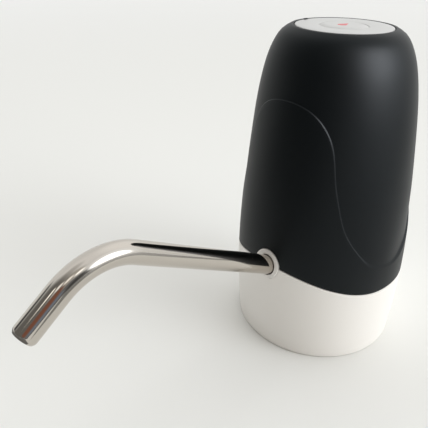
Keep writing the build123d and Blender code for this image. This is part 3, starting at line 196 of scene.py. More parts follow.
def cubic_through(points, samples=600):
    """A smooth line through points, drawn by a cubic whose ends are free, as an array of points."""
    p = np.array(points, float)
    chord = np.concatenate([[0], np.cumsum(np.linalg.norm(np.diff(p, axis=0), axis=1))])
    count = len(p)
    h = np.diff(chord)
    system = np.eye(count)
    right = np.zeros((count, 2))
    for i in range(1, count - 1):
        system[i, i - 1:i + 2] = h[i - 1], 2 * (h[i - 1] + h[i]), h[i]
        right[i] = 6 * ((p[i + 1] - p[i]) / h[i] - (p[i] - p[i - 1]) / h[i - 1])
    second = np.linalg.solve(system, right)
    t = np.linspace(0, chord[-1], samples)
    i = np.clip(np.searchsorted(chord, t, side="right") - 1, 0, count - 2)
    a = ((chord[i + 1] - t) / h[i])[:, None]
    b = ((t - chord[i]) / h[i])[:, None]
    bend = ((a ** 3 - a) * second[i] + (b ** 3 - b) * second[i + 1]) * (h[i] ** 2)[:, None] / 6
    return a * p[i] + b * p[i + 1] + bend


def side_line(widest, rim, low, high):
    """The body's side as (radius, height) points from its widest place up to the rim."""
    return cubic_through([(rim + r * (widest - rim), low + h * (high - low)) for h, r in SIDE_SHARES])


def split_height(y, body):
    """The height of the seam between shell and base at a distance from the middle plane."""
    flat = body.split_flat / 2
    rise = body.split_high - body.split_low
    reach = body.radius - flat
    turn = (reach ** 2 + rise ** 2) / (2 * rise)
    across = np.clip(np.abs(y) - flat, 0, reach)
    return body.split_low + turn - np.sqrt(turn ** 2 - across ** 2)


def wave_height(x, spread, body):
    """The height of the lobes' edge at a distance from the middle plane."""
    span = body.wave_top - body.wave_tail
    edge = WAVE_SHARES[-1][0]
    right = [(body.radius * min(s * spread, edge), body.wave_tail + h * span) for s, h in WAVE_SHARES]
    line = cubic_through([(-a, b) for a, b in reversed(right[1:])] + right, 1200)
    return np.interp(np.abs(x), line[:, 0], line[:, 1])


def rounded(corners, steps=5):
    """A line through (radius, height, rounding) corners, each corner drawn as an arc."""
    line = []
    for k, (r, z, rounding) in enumerate(corners):
        here = np.array([r, z])
        if rounding == 0 or k in (0, len(corners) - 1):
            line.append(here)
            continue
        to_last = np.array(corners[k - 1][:2]) - here
        to_next = np.array(corners[k + 1][:2]) - here
        to_last = to_last / np.linalg.norm(to_last)
        to_next = to_next / np.linalg.norm(to_next)
        half = math.acos(max(-1.0, min(1.0, float(to_last @ to_next)))) / 2
        start = here + to_last * rounding / math.tan(half)
        end = here + to_next * rounding / math.tan(half)
        middle = here + (to_last + to_next) / np.linalg.norm(to_last + to_next) * rounding / math.sin(half)
        a = start - middle
        b = end - middle
        whole = math.acos(max(-1.0, min(1.0, float(a @ b) / rounding ** 2)))
        for s in np.linspace(0, 1, steps):
            line.append(middle + (math.sin((1 - s) * whole) * a + math.sin(s * whole) * b) / math.sin(whole))
    return line


# Modelling

def clear_selection():
    """Leaves edit mode and deselects everything."""
    if bpy.context.object and bpy.context.object.mode != "OBJECT":
        bpy.ops.object.mode_set(mode="OBJECT")
    bpy.ops.object.select_all(action="DESELECT")


def take(obj):
    """Makes one object the only selected one."""
    clear_selection()
    obj.select_set(True)
    bpy.context.view_layer.objects.active = obj
    return obj


def named(name):
    """Names the active object and its mesh."""
    obj = bpy.context.object
    obj.name = name
    obj.data.name = name
    return obj


def edit_all(*operators):
    """Runs edit mode operators on the whole active mesh."""
    bpy.ops.object.mode_set(mode="EDIT")
    bpy.ops.mesh.select_all(action="SELECT")
    for operator, settings in operators:
        operator(**settings)
    bpy.ops.object.mode_set(mode="OBJECT")


def close_up(obj):
    """Merges doubles and turns the faces outwards."""
    take(obj)
    edit_all((bpy.ops.mesh.remove_doubles, {"threshold": 0.00001}),
             (bpy.ops.mesh.normals_make_consistent, {"inside": False}))
    return obj


def settle(obj):
    """Puts an object's place into its mesh."""
    take(obj)
    bpy.ops.object.transform_apply(location=True, rotation=True, scale=True)
    return obj


def smooth(obj, degrees=38):
    """Shades smoothly, with sharp edges kept sharp."""
    take(obj)
    bpy.ops.object.shade_smooth_by_angle(angle=math.radians(degrees))
    return obj


def modified(obj, kind, **settings):
    """Adds a modifier and applies it."""
    take(obj)
    modifier = obj.modifiers.new(kind.lower(), kind)
    for key, value in settings.items():
        setattr(modifier, key, value)
    bpy.ops.object.modifier_apply(modifier=modifier.name)
    return obj


def cut(obj, *tools):
    """Cuts tool shapes out of an object and removes them."""
    for tool in tools:
        modified(obj, "BOOLEAN", operation="DIFFERENCE", object=tool, solver="EXACT")
        bpy.data.objects.remove(tool)
    return obj


def fuse(obj, *others):
    """Joins closed shapes into one closed shape."""
    for other in others:
        modified(obj, "BOOLEAN", operation="UNION", object=other, solver="EXACT")
        bpy.data.objects.remove(other)
    return obj


def wrapped(name, place, closed=True):
    """A skin wrapped round the axis: a grid whose rows and columns are laid at places[row, column].
    With closed, the last row meets the first, and otherwise the first and last rows are poles."""
    rows, columns = place.shape[:2]
    clear_selection()
    bpy.ops.mesh.primitive_grid_add(x_subdivisions=columns, y_subdivisions=rows - 1 + closed, size=1)
    obj = named(name)
    looped = np.concatenate([place, place[:1]]) if closed else place
    looped = np.concatenate([looped, looped[:, :1]], axis=1)
    obj.data.vertices.foreach_set("co", looped.reshape(-1, 3).ravel())
    obj.data.update()
    return close_up(obj)


def spun(name, outline, centre=(0, 0, 0), steps=96):
    """A full turn of a (radius, height) outline about an upright axis."""
    x, y, z = centre
    mesh = bpy.data.meshes.new(name)
    count = len(outline)
    mesh.from_pydata([(x + r, y, z + h) for r, h in outline], [(k, k + 1) for k in range(count - 1)], [])
    obj = bpy.data.objects.new(name, mesh)
    bpy.context.scene.collection.objects.link(obj)
    take(obj)
    edit_all((bpy.ops.mesh.spin, {"steps": steps, "angle": 2 * math.pi, "center": centre, "axis": (0, 0, 1)}))
    return close_up(obj)


def ring_line(corners, steps=5):
    """A closed (radius, height) line with rounded corners, that starts and ends at its first corner."""
    whole = rounded([corners[-1]] + corners + [corners[0]], steps)[1:-1]
    return whole + [whole[0]]


def bar(name, radius, low, high, vertices=64):
    """An upright round bar on the Z axis, as a tool or a start."""
    clear_selection()
    bpy.ops.mesh.primitive_cylinder_add(vertices=vertices, radius=radius, depth=high - low,
                                        location=(0, 0, (low + high) / 2))
    obj = named(name)
    return settle(obj)


def brick(name, low, high):
    """A box between two corners, as a tool or a start."""
    low, high = Vector(low), Vector(high)
    clear_selection()
    bpy.ops.mesh.primitive_cube_add(size=1, location=(low + high) / 2, scale=high - low)
    return settle(named(name))


def spout_matrix(spout):
    """The frame of the spout's axis: its Z runs outwards along the tube."""
    along = Vector((0, -math.cos(spout.rise), math.sin(spout.rise)))
    across = Vector((1, 0, 0))
    turn = Matrix((across, along.cross(across), along)).transposed().to_4x4()
    return Matrix.Translation((0, 0, spout.axis_height)) @ turn


def collar_matrix(spout):
    """The place of the collar's ring, a little above the tube's axis."""
    return Matrix.Translation((0, 0, spout.collar_lift)) @ spout_matrix(spout)


def moved(obj, matrix):
    """Moves a mesh by a matrix, with its object left at the origin."""
    obj.data.transform(matrix)
    obj.data.update()
    return obj


def copied(obj, name, matrix):
    """A copy with its own mesh, moved by a matrix."""
    twin = obj.copy()
    twin.data = obj.data.copy()
    twin.name = name
    twin.data.name = name
    bpy.context.scene.collection.objects.link(twin)
    return moved(twin, matrix)


def coat(obj, slot):
    """Gives an object the one material of a slot."""
    obj.data.materials.clear()
    obj.data.materials.append(finish(slot))


def done(obj, body, slot, *nodes):
    """Gives a finished piece its material, its body and the CAD nodes that it stands for."""
    coat(obj, slot)
    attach(obj, body)
    if nodes:
        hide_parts(*nodes)
    return obj


# Materials

def link(tree, source, target):
    """Joins two sockets."""
    tree.links.new(source, target)


def added(tree, kind, values=(), **settings):
    """Adds a shader node with its settings and the values of its inputs."""
    node = tree.nodes.new("ShaderNode" + kind)
    for key, value in settings.items():
        setattr(node, key, value)
    for key, value in dict(values).items():
        node.inputs[key].default_value = value
    return node


def surface_group(name, fine_scale, fine_detail, broad_scale, broad_detail, bump_distance,
                  rough_by_fine):
    """A shared finish: broad noise changes its colour, and fine noise gives a height for the light to catch.
    One of the two changes the roughness."""
    if name in bpy.data.node_groups:
        return bpy.data.node_groups[name]
    tree = bpy.data.node_groups.new(name, "ShaderNodeTree")
    colours = {"Colour": (0.5, 0.5, 0.5, 1), "Tint": (0.4, 0.4, 0.4, 1)}
    numbers = {"Fine Scale": fine_scale, "Broad Scale": broad_scale, "Roughness Low": 0.4,
               "Roughness High": 0.5, "Bump": 0.05, "Bump Distance": bump_distance}
    tree.interface.new_socket("Vector", in_out="INPUT", socket_type="NodeSocketVector")
    for kind, defaults in (("NodeSocketColor", colours), ("NodeSocketFloat", numbers)):
        for title, default in defaults.items():
            tree.interface.new_socket(title, in_out="INPUT", socket_type=kind).default_value = default
    for title, kind in (("Colour", "Color"), ("Roughness", "Float"), ("Normal", "Vector")):
        tree.interface.new_socket(title, in_out="OUTPUT", socket_type="NodeSocket" + kind)
    start = tree.nodes.new("NodeGroupInput").outputs
    end = tree.nodes.new("NodeGroupOutput").inputs
    fine = added(tree, "TexNoise", {"Detail": fine_detail})
    broad = added(tree, "TexNoise", {"Detail": broad_detail})
    mix = added(tree, "Mix", data_type="RGBA")
    spread = added(tree, "MapRange")
    bump = added(tree, "Bump")
    for noise, scale in ((fine, "Fine Scale"), (broad, "Broad Scale")):
        link(tree, start["Vector"], noise.inputs["Vector"])
        link(tree, start[scale], noise.inputs["Scale"])
    link(tree, broad.outputs["Fac"], mix.inputs["Factor"])
    link(tree, start["Colour"], mix.inputs["A"])
    link(tree, start["Tint"], mix.inputs["B"])
    link(tree, (fine if rough_by_fine else broad).outputs["Fac"], spread.inputs["Value"])
    link(tree, start["Roughness Low"], spread.inputs["To Min"])
    link(tree, start["Roughness High"], spread.inputs["To Max"])
    link(tree, fine.outputs["Fac"], bump.inputs["Height"])
    link(tree, start["Bump"], bump.inputs["Strength"])
    link(tree, start["Bump Distance"], bump.inputs["Distance"])
    link(tree, mix.outputs["Result"], end["Colour"])
    link(tree, spread.outputs["Result"], end["Roughness"])
    link(tree, bump.outputs["Normal"], end["Normal"])
    return tree


def grain_group():
    """A fine moulded grain."""
    return surface_group("Moulded grain", 2600.0, 3.0, 70.0, 4.0, 0.04 * MM, rough_by_fine=False)


def drawn_group():
    """Fine lines drawn along a metal."""
    return surface_group("Drawn lines", 900.0, 5.0, 60.0, 2.0, 0.03 * MM, rough_by_fine=True)


def shade(name, group, values, metallic=0.0, stretch=(1, 1, 1), rotation=(0, 0, 0), **shader):
    """A material: one of the groups above in front of a Principled shader, whose own values are plain."""
    if name in bpy.data.materials:
        return bpy.data.materials[name]
    material = bpy.data.materials.new(name)
    material.use_nodes = True
    tree = material.node_tree
    principled = tree.nodes["Principled BSDF"].inputs
    for key, value in {"metallic": metallic, **shader}.items():
        principled[key.replace("_", " ").title().replace("Ior", "IOR")].default_value = value
    surface = added(tree, "Group", values, node_tree=group)
    place = added(tree, "TexCoord")
    mapping = added(tree, "Mapping", {"Rotation": rotation, "Scale": stretch})
    link(tree, place.outputs["Object"], mapping.inputs["Vector"])
    link(tree, mapping.outputs["Vector"], surface.inputs["Vector"])
    link(tree, surface.outputs["Colour"], principled["Base Color"])
    link(tree, surface.outputs["Roughness"], principled["Roughness"])
    link(tree, surface.outputs["Normal"], principled["Normal"])
    return material


def toned(value, share):
    """A colour made lighter or darker by a share."""
    return tuple(min(1.0, c * share) for c in value)


def plastic(name, value, rough, spread=0.04, tone=0.94, bump=0.06, grain=2600.0, **shader):
    """A moulded plastic or rubber with a fine grain."""
    values = {"Colour": (*value, 1.0), "Tint": (*toned(value, tone), 1.0), "Fine Scale": grain,
              "Roughness Low": rough - spread, "Roughness High": rough + spread, "Bump": bump}
    return shade(name, grain_group(), values, **shader)


def metal(name, value, rough, spread=0.04, tone=0.93, stretch=(1, 1, 0.03), bump=0.05, **shader):
    """A metal with fine lines along one way."""
    values = {"Colour": (*value, 1.0), "Tint": (*toned(value, tone), 1.0),
              "Roughness Low": max(0.02, rough - spread), "Roughness High": rough + spread, "Bump": bump}
    return shade(name, drawn_group(), values, metallic=1.0, stretch=stretch, **shader)


def outer_finishes():
    """The finishes of the outside, whose colours a user may change."""
    _, spout, _, look = sizes()
    base = tuple(look.base_colour)
    return {
        # the soft, matt black of the dome, the satin white of the base, and the collar's white, which is the
        # base's white painted a little darker as painted shade
        "shell_black": (plastic, "Dome black", tuple(look.shell_colour), look.shell_rough,
                        {"spread": 0.03, "tone": 0.8, "bump": 0.05, "grain": 3400.0,
                         "specular_ior_level": 0.18, "specular_tint": (0.90, 0.97, 1.0, 1.0),
                         "sheen_weight": 0.06, "sheen_roughness": 0.4}),
        "base_white": (plastic, "Base white", base, look.base_rough, {"tone": 0.985, "bump": 0.03}),
        "collar_white": (plastic, "Collar white", toned(base, 0.97), look.base_rough + 0.05,
                         {"tone": 0.97, "bump": 0.04}),
        # the silver grey of the plate and the button, and the printed red of the mark
        "plate_grey": (plastic, "Plate grey", tuple(look.plate_colour), 0.36,
                       {"tone": 0.96, "bump": 0.05, "grain": 4200.0, "specular_ior_level": 0.35}),
        "mark_red": (plastic, "Mark red", tuple(look.mark_colour), 0.34, {"tone": 0.88, "bump": 0.03}),
        # the spout's steel, with its lines along the tube
        "polished_steel": (metal, "Polished steel", tuple(look.steel_colour), look.steel_rough,
                           {"spread": 0.035, "tone": 0.97, "stretch": (1, 1, 0.02), "bump": 0.02,
                            "rotation": (math.pi / 2 - spout.rise, 0, 0)}),
    }


EVEN = (1, 1, 1)
CAP_PLASTIC = (plastic, "Cap plastic", (0.03, 0.03, 0.032), 0.45, {"tone": 0.75})

# The inner finishes by slot: kind, name, colour, roughness and what else sets them apart
INNER_FINISHES = {
    "frame_white": (plastic, "Frame white", (0.72, 0.72, 0.68), 0.48, {"tone": 0.93}),
    "seal_black": (plastic, "Seal black", (0.018, 0.018, 0.018), 0.62, {"tone": 0.7, "bump": 0.1}),
    "gasket_grey": (plastic, "Gasket grey", (0.44, 0.46, 0.46), 0.55,
                    {"tone": 0.9, "bump": 0.12, "grain": 1500.0}),
    "silicone_clear": (plastic, "Silicone clear", (0.62, 0.66, 0.67), 0.3,
                       {"tone": 0.95, "transmission_weight": 0.45, "ior": 1.41}),
    "screw_steel": (metal, "Screw steel", (0.60, 0.60, 0.62), 0.3, {"tone": 0.85, "stretch": EVEN}),
    "pump_plastic": (plastic, "Pump plastic", (0.76, 0.76, 0.72), 0.26, {"tone": 0.96}),
    "gear_plastic": (plastic, "Gear plastic", (0.82, 0.80, 0.72), 0.3, {"tone": 0.95}),
    "motor_steel": (metal, "Motor steel", (0.56, 0.56, 0.57), 0.28, {"tone": 0.88}),
    "magnet_black": (metal, "Magnet black", (0.08, 0.08, 0.085), 0.6,
                     {"tone": 0.7, "stretch": EVEN, "bump": 0.2}),
    "core_iron": (metal, "Core iron", (0.34, 0.33, 0.33), 0.4,
                  {"tone": 0.7, "stretch": (0.05, 0.05, 1), "bump": 0.15}),
    "bronze": (metal, "Bronze", (0.60, 0.42, 0.20), 0.42, {"tone": 0.75, "stretch": EVEN, "bump": 0.2}),
    "cap_plastic": CAP_PLASTIC,
    "switch_black": CAP_PLASTIC,
    "cell_sleeve": (plastic, "Cell sleeve", (0.03, 0.13, 0.42), 0.22, {"tone": 0.85, "bump": 0.03}),
    "nickel": (metal, "Nickel", (0.66, 0.63, 0.56), 0.24, {"tone": 0.9, "stretch": (1, 0.05, 1)}),
    "board_green": (plastic, "Board green", (0.012, 0.13, 0.05), 0.33, {"tone": 0.7, "grain": 900.0}),
    "plunger_brown": (plastic, "Plunger brown", (0.16, 0.07, 0.035), 0.35, {"tone": 0.85}),
    "led_clear": (plastic, "Light clear", (0.86, 0.88, 0.90), 0.08,
                  {"spread": 0.03, "tone": 0.97, "transmission_weight": 0.9, "ior": 1.52}),
    "lens_smoke": (plastic, "Lens smoke", (0.006, 0.006, 0.007), 0.3,
                   {"tone": 0.8, "bump": 0.01, "specular_ior_level": 0.2}),
    "wire_red": (plastic, "Wire red", (0.48, 0.02, 0.018), 0.42, {"tone": 0.85}),
    "wire_black": (plastic, "Wire black", (0.02, 0.02, 0.021), 0.42, {"tone": 0.75}),
}


def finish(slot):
    """The material of a slot."""
    kind, name, value, rough, settings = {**outer_finishes(), **INNER_FINISHES}[slot]
    return kind(name, value, rough, **settings)


# The casing

SHELL_COLUMNS = 320
BASE_COLUMNS = 240
OVERRUN = 2 * MM


def middle_of(node):
    """The middle of a CAD node's box."""
    low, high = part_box(node)
    return (low + high) / 2


def laid_round(radius, height, columns):
    """Places on the body from radius[row, column] and height[row, column]; column 0 faces the spout."""
    turn = np.linspace(0, 2 * np.pi, columns, endpoint=False)
    return np.stack([radius * np.sin(turn), -radius * np.cos(turn), height], axis=2)


def eased(share):
    """A share held between 0 and 1 and smoothed at both ends."""
    share = np.clip(share, 0, 1)
    return share * share * (3 - 2 * share)


# Between which cosines of the angle from the spout the lobes' edge turns into the back one, grows soft at
# the sides, and gets deeper behind them
BACK_COSINES = (0.1, -0.3)
SOFT_COSINES = (0.6, 0.3)
DEEP_COSINES = (0.2, -0.2)


def past(turn, cosines):
    """How far an angle has gone from the first of two cosines to the second, as an eased share."""
    start, end = cosines
    return eased((start - np.cos(turn)) / (start - end))


def wave_round(turn, side, body):
    """The height of the lobes' edge for each angle round the body, found by halving."""
    low = np.full_like(turn, body.wave_tail)
    high = np.full_like(turn, body.wave_top)
    back = past(turn, BACK_COSINES)
    for _ in range(40):
        middle = (low + high) / 2
        x = np.interp(middle, side[:, 1], side[:, 0]) * np.sin(turn)
        edge = (1 - back) * wave_height(x, 1.0, body) + back * wave_height(x, WAVE_BACK_SPREAD_SHARE, body)
        below = middle < edge
        low = np.where(below, middle, low)
        high = np.where(below, high, middle)
    return (low + high) / 2


def split_round(turn, radius, body):
    """The height of the seam for each angle round the body."""
    return split_height(radius * np.cos(turn), body)


def shell_rows(body):
    """The rows of the shell's skin, from its lower edge up the outside, over the rim and down the inside."""
    turn = np.linspace(0, 2 * np.pi, SHELL_COLUMNS, endpoint=False)
    side = side_line(body.radius - body.relief, body.rim_radius, body.wide_height, BODY_TOP)
    walk = np.concatenate([[0], np.cumsum(np.linalg.norm(np.diff(side, axis=0), axis=1))])
    low = split_round(turn, body.radius, body) + body.split_gap / 2
    wave = wave_round(turn, side, body)
    slope = np.gradient(np.concatenate([wave[-1:], wave, wave[:1]]))[1:-1]
    slope = slope / (2 * np.pi / SHELL_COLUMNS * np.interp(wave, side[:, 1], side[:, 0]))
    fading = past(turn, SOFT_COSINES)
    behind = past(turn, DEEP_COSINES)
    soft = fading * (1 - eased((wave - body.wave_tail) / body.trough_rise))
    sink = body.trough_sink * (behind - SIDE_RAISE_SHARE * fading * (1 - behind))
    sink = sink * (1 - eased((wave - body.wave_tail) / body.sink_rise))
    half = (body.relief_width + soft * (body.trough_width - body.relief_width)) / 2 * np.sqrt(1 + slope ** 2)

    def at(walked, share):
        height = np.interp(walked, walk, side[:, 1])
        depth = sink * (1 - share) * (1 - eased((height - wave) / body.sink_rise))
        return np.interp(walked, walk, side[:, 0]) + body.relief * share - depth, height

    def walked_to(height):
        return np.interp(height, side[:, 1], walk)

    rows = []
    edge = body.edge
    for angle in np.linspace(0, math.pi / 2, 5):
        radius = at(walked_to(low), 1.0)[0]
        rows.append((radius - edge * (1 - math.sin(angle)), low + edge * (1 - math.cos(angle))))
    start = walked_to(low + edge)
    foot = walked_to(wave - half)
    head = walked_to(wave + half)
    for share in np.linspace(0, 1, 26)[1:]:
        rows.append(at(start + share * (foot - start), 1.0))
    for share in np.linspace(0, 1, 9)[1:-1]:
        rows.append(at(foot + share * (head - foot), 1 - eased(share)))
    for share in np.linspace(0, 1, 40):
        rows.append(at(head + share * (walk[-1] - head), 0.0))
    pocket = PLATE_RADIUS + body.plate_gap
    top = side[-1, 1]
    ledge_low = body.ledge_high - body.ledge_wall
    inner = side_line(body.radius - body.wall, body.ledge_radius, body.wide_height, ledge_low)
    corners = [(body.rim_radius, top, 0), (pocket, top, edge / 2), (pocket, body.ledge_high, edge / 3),
               (body.ledge_radius, body.ledge_high, edge / 2), (body.ledge_radius, ledge_low, 0)]
    for radius, height in rounded(corners, 4)[1:]:
        rows.append((np.full_like(turn, radius), np.full_like(turn, height)))
    inner_walk = np.concatenate([[0], np.cumsum(np.linalg.norm(np.diff(inner, axis=0), axis=1))])
    end = np.interp(low, inner[:, 1], inner_walk)
    for share in np.linspace(1, 0, 18)[1:]:
        walked = end + share * (inner_walk[-1] - end)
        rows.append((np.interp(walked, inner_walk, inner[:, 0]), np.interp(walked, inner_walk, inner[:, 1])))
    radius = np.array([r for r, _ in rows])
    height = np.array([z for _, z in rows])
    return laid_round(radius, height, SHELL_COLUMNS)


class PUMP_OT_shell(bpy.types.Operator):
    """Model the dark shell with its raised lobes, the spout's notch and the charging opening"""
    bl_idname = "pump.shell"
    bl_label = "Shell"

    def execute(self, context):
        body, spout, top, _ = sizes()
        shell = wrapped("dome_cover", shell_rows(body))
        notch = bar("notch", spout.collar_radius + spout.notch_gap, spout.inner_end, spout.straight_end, 96)
        moved(notch, collar_matrix(spout))
        cut(shell, notch, *port_tools(body), lens_tool(top, body))
        done(smooth(shell), "root", "shell_black", "outer_shell")
        return {"FINISHED"}


def rounded_slot(name, width, height, corner, y_low, y_high, z):
    """A rounded opening's tool through the back wall."""
    tool = brick(name, (-width / 2, y_low, z - height / 2), (width / 2, y_high, z + height / 2))
    take(tool)
    bpy.ops.object.mode_set(mode="EDIT")
    bpy.ops.mesh.select_all(action="DESELECT")
    bpy.ops.object.mode_set(mode="OBJECT")
    for edge in tool.data.edges:
        a, b = (tool.data.vertices[v].co for v in edge.vertices)
        edge.select = abs(a.x - b.x) < MM / 100 and abs(a.z - b.z) < MM / 100
    bpy.ops.object.mode_set(mode="EDIT")
    bpy.ops.mesh.bevel(offset=corner, segments=8, affect="EDGES")
    bpy.ops.object.mode_set(mode="OBJECT")
    return tool


def port_tools(body):
    """The tools for the charging opening and the recess round it."""
    z = middle_of("charge_socket").z
    opening_width, opening_height = 8.8 * MM, 3.8 * MM
    recess_width, recess_height = 12 * MM, 7.4 * MM
    corner = 1.6 * MM
    outside = body.radius + OVERRUN
    inside = body.radius - body.wall - OVERRUN
    recess_back = body.radius - 0.9 * MM
    return (rounded_slot("port_opening", opening_width, opening_height, corner, inside, outside, z),
            rounded_slot("port_recess", recess_width, recess_height, corner, recess_back, outside, z))


def lens_tool(top, body):
    """The tool for the light guide's passage through the ledge."""
    gap = 0.3 * MM
    wide = top.lens_width / 2 + gap
    tall = top.lens_length / 2 + gap
    return brick("lens_passage", (-top.lens_reach - wide, -tall, body.ledge_high - 4 * MM),
                 (-top.lens_reach + wide, tall, body.ledge_high + 0.2 * MM))


def base_rows(body):
    """The rows of the base's skin: out from the underside's middle, up the side and over the lip."""
    turn = np.linspace(0, 2 * np.pi, BASE_COLUMNS, endpoint=False)
    split = split_round(turn, body.radius, body)
    low = split - body.split_gap / 2
    flat = np.ones_like(turn)
    edge = body.edge
    rows = []
    hollow = body.radius - 1.5 * body.base_wall
    inner_foot = body.foot_radius - body.base_wall
    underside = [(0.0, body.ceiling_low, 0), (hollow, body.ceiling_low, edge * 2), (inner_foot, 0.0, edge),
                 (body.foot_radius, 0.0, body.foot_edge), (body.foot_radius + 0.3 * MM, 5 * MM, 0)]
    for radius, height in [(k * hollow / 6, body.ceiling_low) for k in range(6)]:
        rows.append((flat * radius, flat * height))
    for radius, height in rounded(underside, 6)[1:-1]:
        rows.append((flat * radius, flat * height))
    lean = body.base_top_radius - body.foot_radius
    top = body.split_high + 2 * MM

    def side(height):
        share = height / top
        bulge = (4 * BASE_BULGE_SHARE - 1) * share + (2 - 4 * BASE_BULGE_SHARE) * share ** 2
        return body.foot_radius + lean * bulge

    start = body.foot_edge * 1.1
    turned = body.base_edge
    for share in np.linspace(0, 1, 20):
        height = start + share * (low - turned - start)
        rows.append((side(height), height))
    for angle in np.linspace(0, math.pi / 2, 9)[1:]:
        radius = side(low - turned) - turned * (1 - math.cos(angle))
        rows.append((radius, low - turned * (1 - math.sin(angle))))
    lip_gap = 0.3 * MM
    lip = body.radius - body.wall - lip_gap
    rows.append((flat * lip, low))
    rows.append((flat * lip, split + body.lip_rise))
    rows.append((flat * (lip - body.lip_wall), split + body.lip_rise))
    ceiling = body.ceiling_low + body.ceiling_wall
    rows.append((flat * (lip - body.lip_wall), flat * ceiling))
    for share in np.linspace(1, 0, 7)[1:]:
        rows.append((flat * (lip - body.lip_wall) * share, flat * ceiling))
    radius = np.array([r for r, _ in rows])
    height = np.array([z for _, z in rows])
    return laid_round(radius, height, BASE_COLUMNS)


class PUMP_OT_base(bpy.types.Operator):
    """Model the pale base with its saddle shaped upper edge, its ceiling and the lip inside the shell"""
    bl_idname = "pump.base"
    bl_label = "Base"

    def execute(self, context):
        body, spout, _, _ = sizes()
        base = wrapped("base_cover", base_rows(body), closed=False)
        inlet_radius = 4.6 * MM
        inlet_place = (0, 7.6 * MM, 0)
        hole = bar("inlet_hole", inlet_radius, body.ceiling_low - 3 * MM, body.ceiling_low + 6 * MM)
        moved(hole, Matrix.Translation(inlet_place))
        bore = bar("collar_bore", spout.collar_radius + 0.15 * MM, spout.inner_end - 1.4 * MM,
                   spout.straight_end, 96)
        moved(bore, collar_matrix(spout))
        cut(base, hole, bore)
        done(smooth(base), "root", "base_white", "base_shell")
        return {"FINISHED"}


# The neck socket, seen from below

GUSSETS = 12


class PUMP_OT_neck(bpy.types.Operator):
    """Model the sleeve for the bottle's neck, its gasket and its four screws"""
    bl_idname = "pump.neck"
    bl_label = "Neck socket"

    def execute(self, context):
        bore = 27.75 * MM
        outer = bore + 2.0 * MM
        relief = bore + 0.8 * MM
        top = FLANGE_TOP
        flange_low = top - 2.0 * MM
        edge = 0.3 * MM
        corners = [(bore, 0.0, 0.7 * MM), (outer, 0.0, edge), (outer, flange_low, 0.5 * MM),
                   (FLANGE_RADIUS, flange_low, edge), (FLANGE_RADIUS, top, edge), (relief, top, edge),
                   (relief, 12.3 * MM, 0.2 * MM), (bore, 11.5 * MM, 0.2 * MM)]
        sleeve = spun("neck_sleeve", ring_line(corners), steps=160)
        fuse(sleeve, *[gusset_piece(outer, flange_low, 2 * math.pi * k / GUSSETS) for k in range(GUSSETS)])
        well_radius, hole_radius, overrun = 2.5 * MM, 1.35 * MM, 1 * MM
        screw_reach = 6.2 * MM
        circle = Matrix.Translation((31.4 * MM, 0, 0))
        places = [Matrix.Rotation(math.radians(45 + 90 * k), 4, "Z") @ circle for k in range(4)]
        for place in places:
            well = bar("screw_well", well_radius, -overrun, flange_low, 40)
            hole = bar("screw_hole", hole_radius, flange_low - overrun, top + overrun, 32)
            cut(sleeve, moved(well, place), moved(hole, place))
        done(smooth(sleeve), "root", "frame_white", "neck_skirt")
        low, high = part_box("neck_gasket")
        opening = 20.0 * MM
        lip, rim = 0.5 * MM, 0.4 * MM
        corners = [(opening, low.z, lip), (high.x, low.z, rim), (high.x, high.z, rim), (opening, high.z, lip)]
        gasket = spun("gasket_ring", ring_line(corners), steps=160)
        done(smooth(gasket), "root", "gasket_grey", "neck_gasket")
        first = pan_head_screw("skirt_screw", flange_low, screw_reach)
        for k, place in enumerate(places):
            one = copied(first, f"skirt_screw_{k + 1}", place)
            done(one, "root", "screw_steel", "skirt_screws")
        bpy.data.objects.remove(first)
        return {"FINISHED"}


def gusset_piece(outer, flange_low, turn):
    """A rib under the flange, narrow at its foot, at an angle round the sleeve."""
    half = 0.7 * MM
    foot = 2 * MM
    gusset = brick("gusset", (outer - 0.5 * MM, -half, foot), (outer + 2.4 * MM, half, flange_low + 0.4 * MM))
    for v in gusset.data.vertices:
        if v.co.z < foot + 1 * MM and v.co.x > outer:
            v.co.x = outer + 0.05 * MM
    modified(gusset, "BEVEL", width=0.15 * MM, segments=2, limit_method="ANGLE")
    return moved(gusset, Matrix.Rotation(turn, 4, "Z"))


def pan_head_screw(name, seat, reach):
    """A pan head screw under a seat, with a cross recess in its head and its shank up to a reach."""
    head = 2.2 * MM
    shank = 1.25 * MM
    outline = rounded([(0.0, seat - 1.5 * MM, 0), (head, seat - 1.45 * MM, 0.9 * MM), (head, seat, 0.1 * MM),
                       (shank, seat, 0.15 * MM), (shank, seat + reach - 0.8 * MM, 0.2 * MM),
                       (0.0, seat + reach, 0)], 6)
    screw = spun(name, outline, steps=48)
    blades = []
    half = 0.22 * MM
    for k in range(2):
        blade = brick("blade", (-shank, -half, seat - 1.7 * MM), (shank, half, seat - 0.6 * MM))
        for v in blade.data.vertices:
            if v.co.z > seat - 1 * MM:
                v.co.x *= 0.45
        blades.append(moved(blade, Matrix.Rotation(math.pi / 2 * k, 4, "Z")))
    cut(screw, *blades)
    return smooth(screw, 30)


# The spout

def spout_stations(spout):
    """Points and directions along the tube's centre line, in the plane of the spout, as (along, up) pairs."""
    stations = []
    for along in np.linspace(spout.inner_end, spout.straight_end, 12):
        stations.append((along, 0.0, 0.0))
    for turn in np.linspace(0, spout.bend, 33)[1:]:
        stations.append((spout.straight_end + spout.bend_radius * math.sin(turn),
                         -spout.bend_radius * (1 - math.cos(turn)), turn))
    along, up, turn = stations[-1]
    for reach in np.linspace(0, spout.tip_length, 5)[1:]:
        stations.append((along + reach * math.cos(turn), up - reach * math.sin(turn), turn))
    return stations


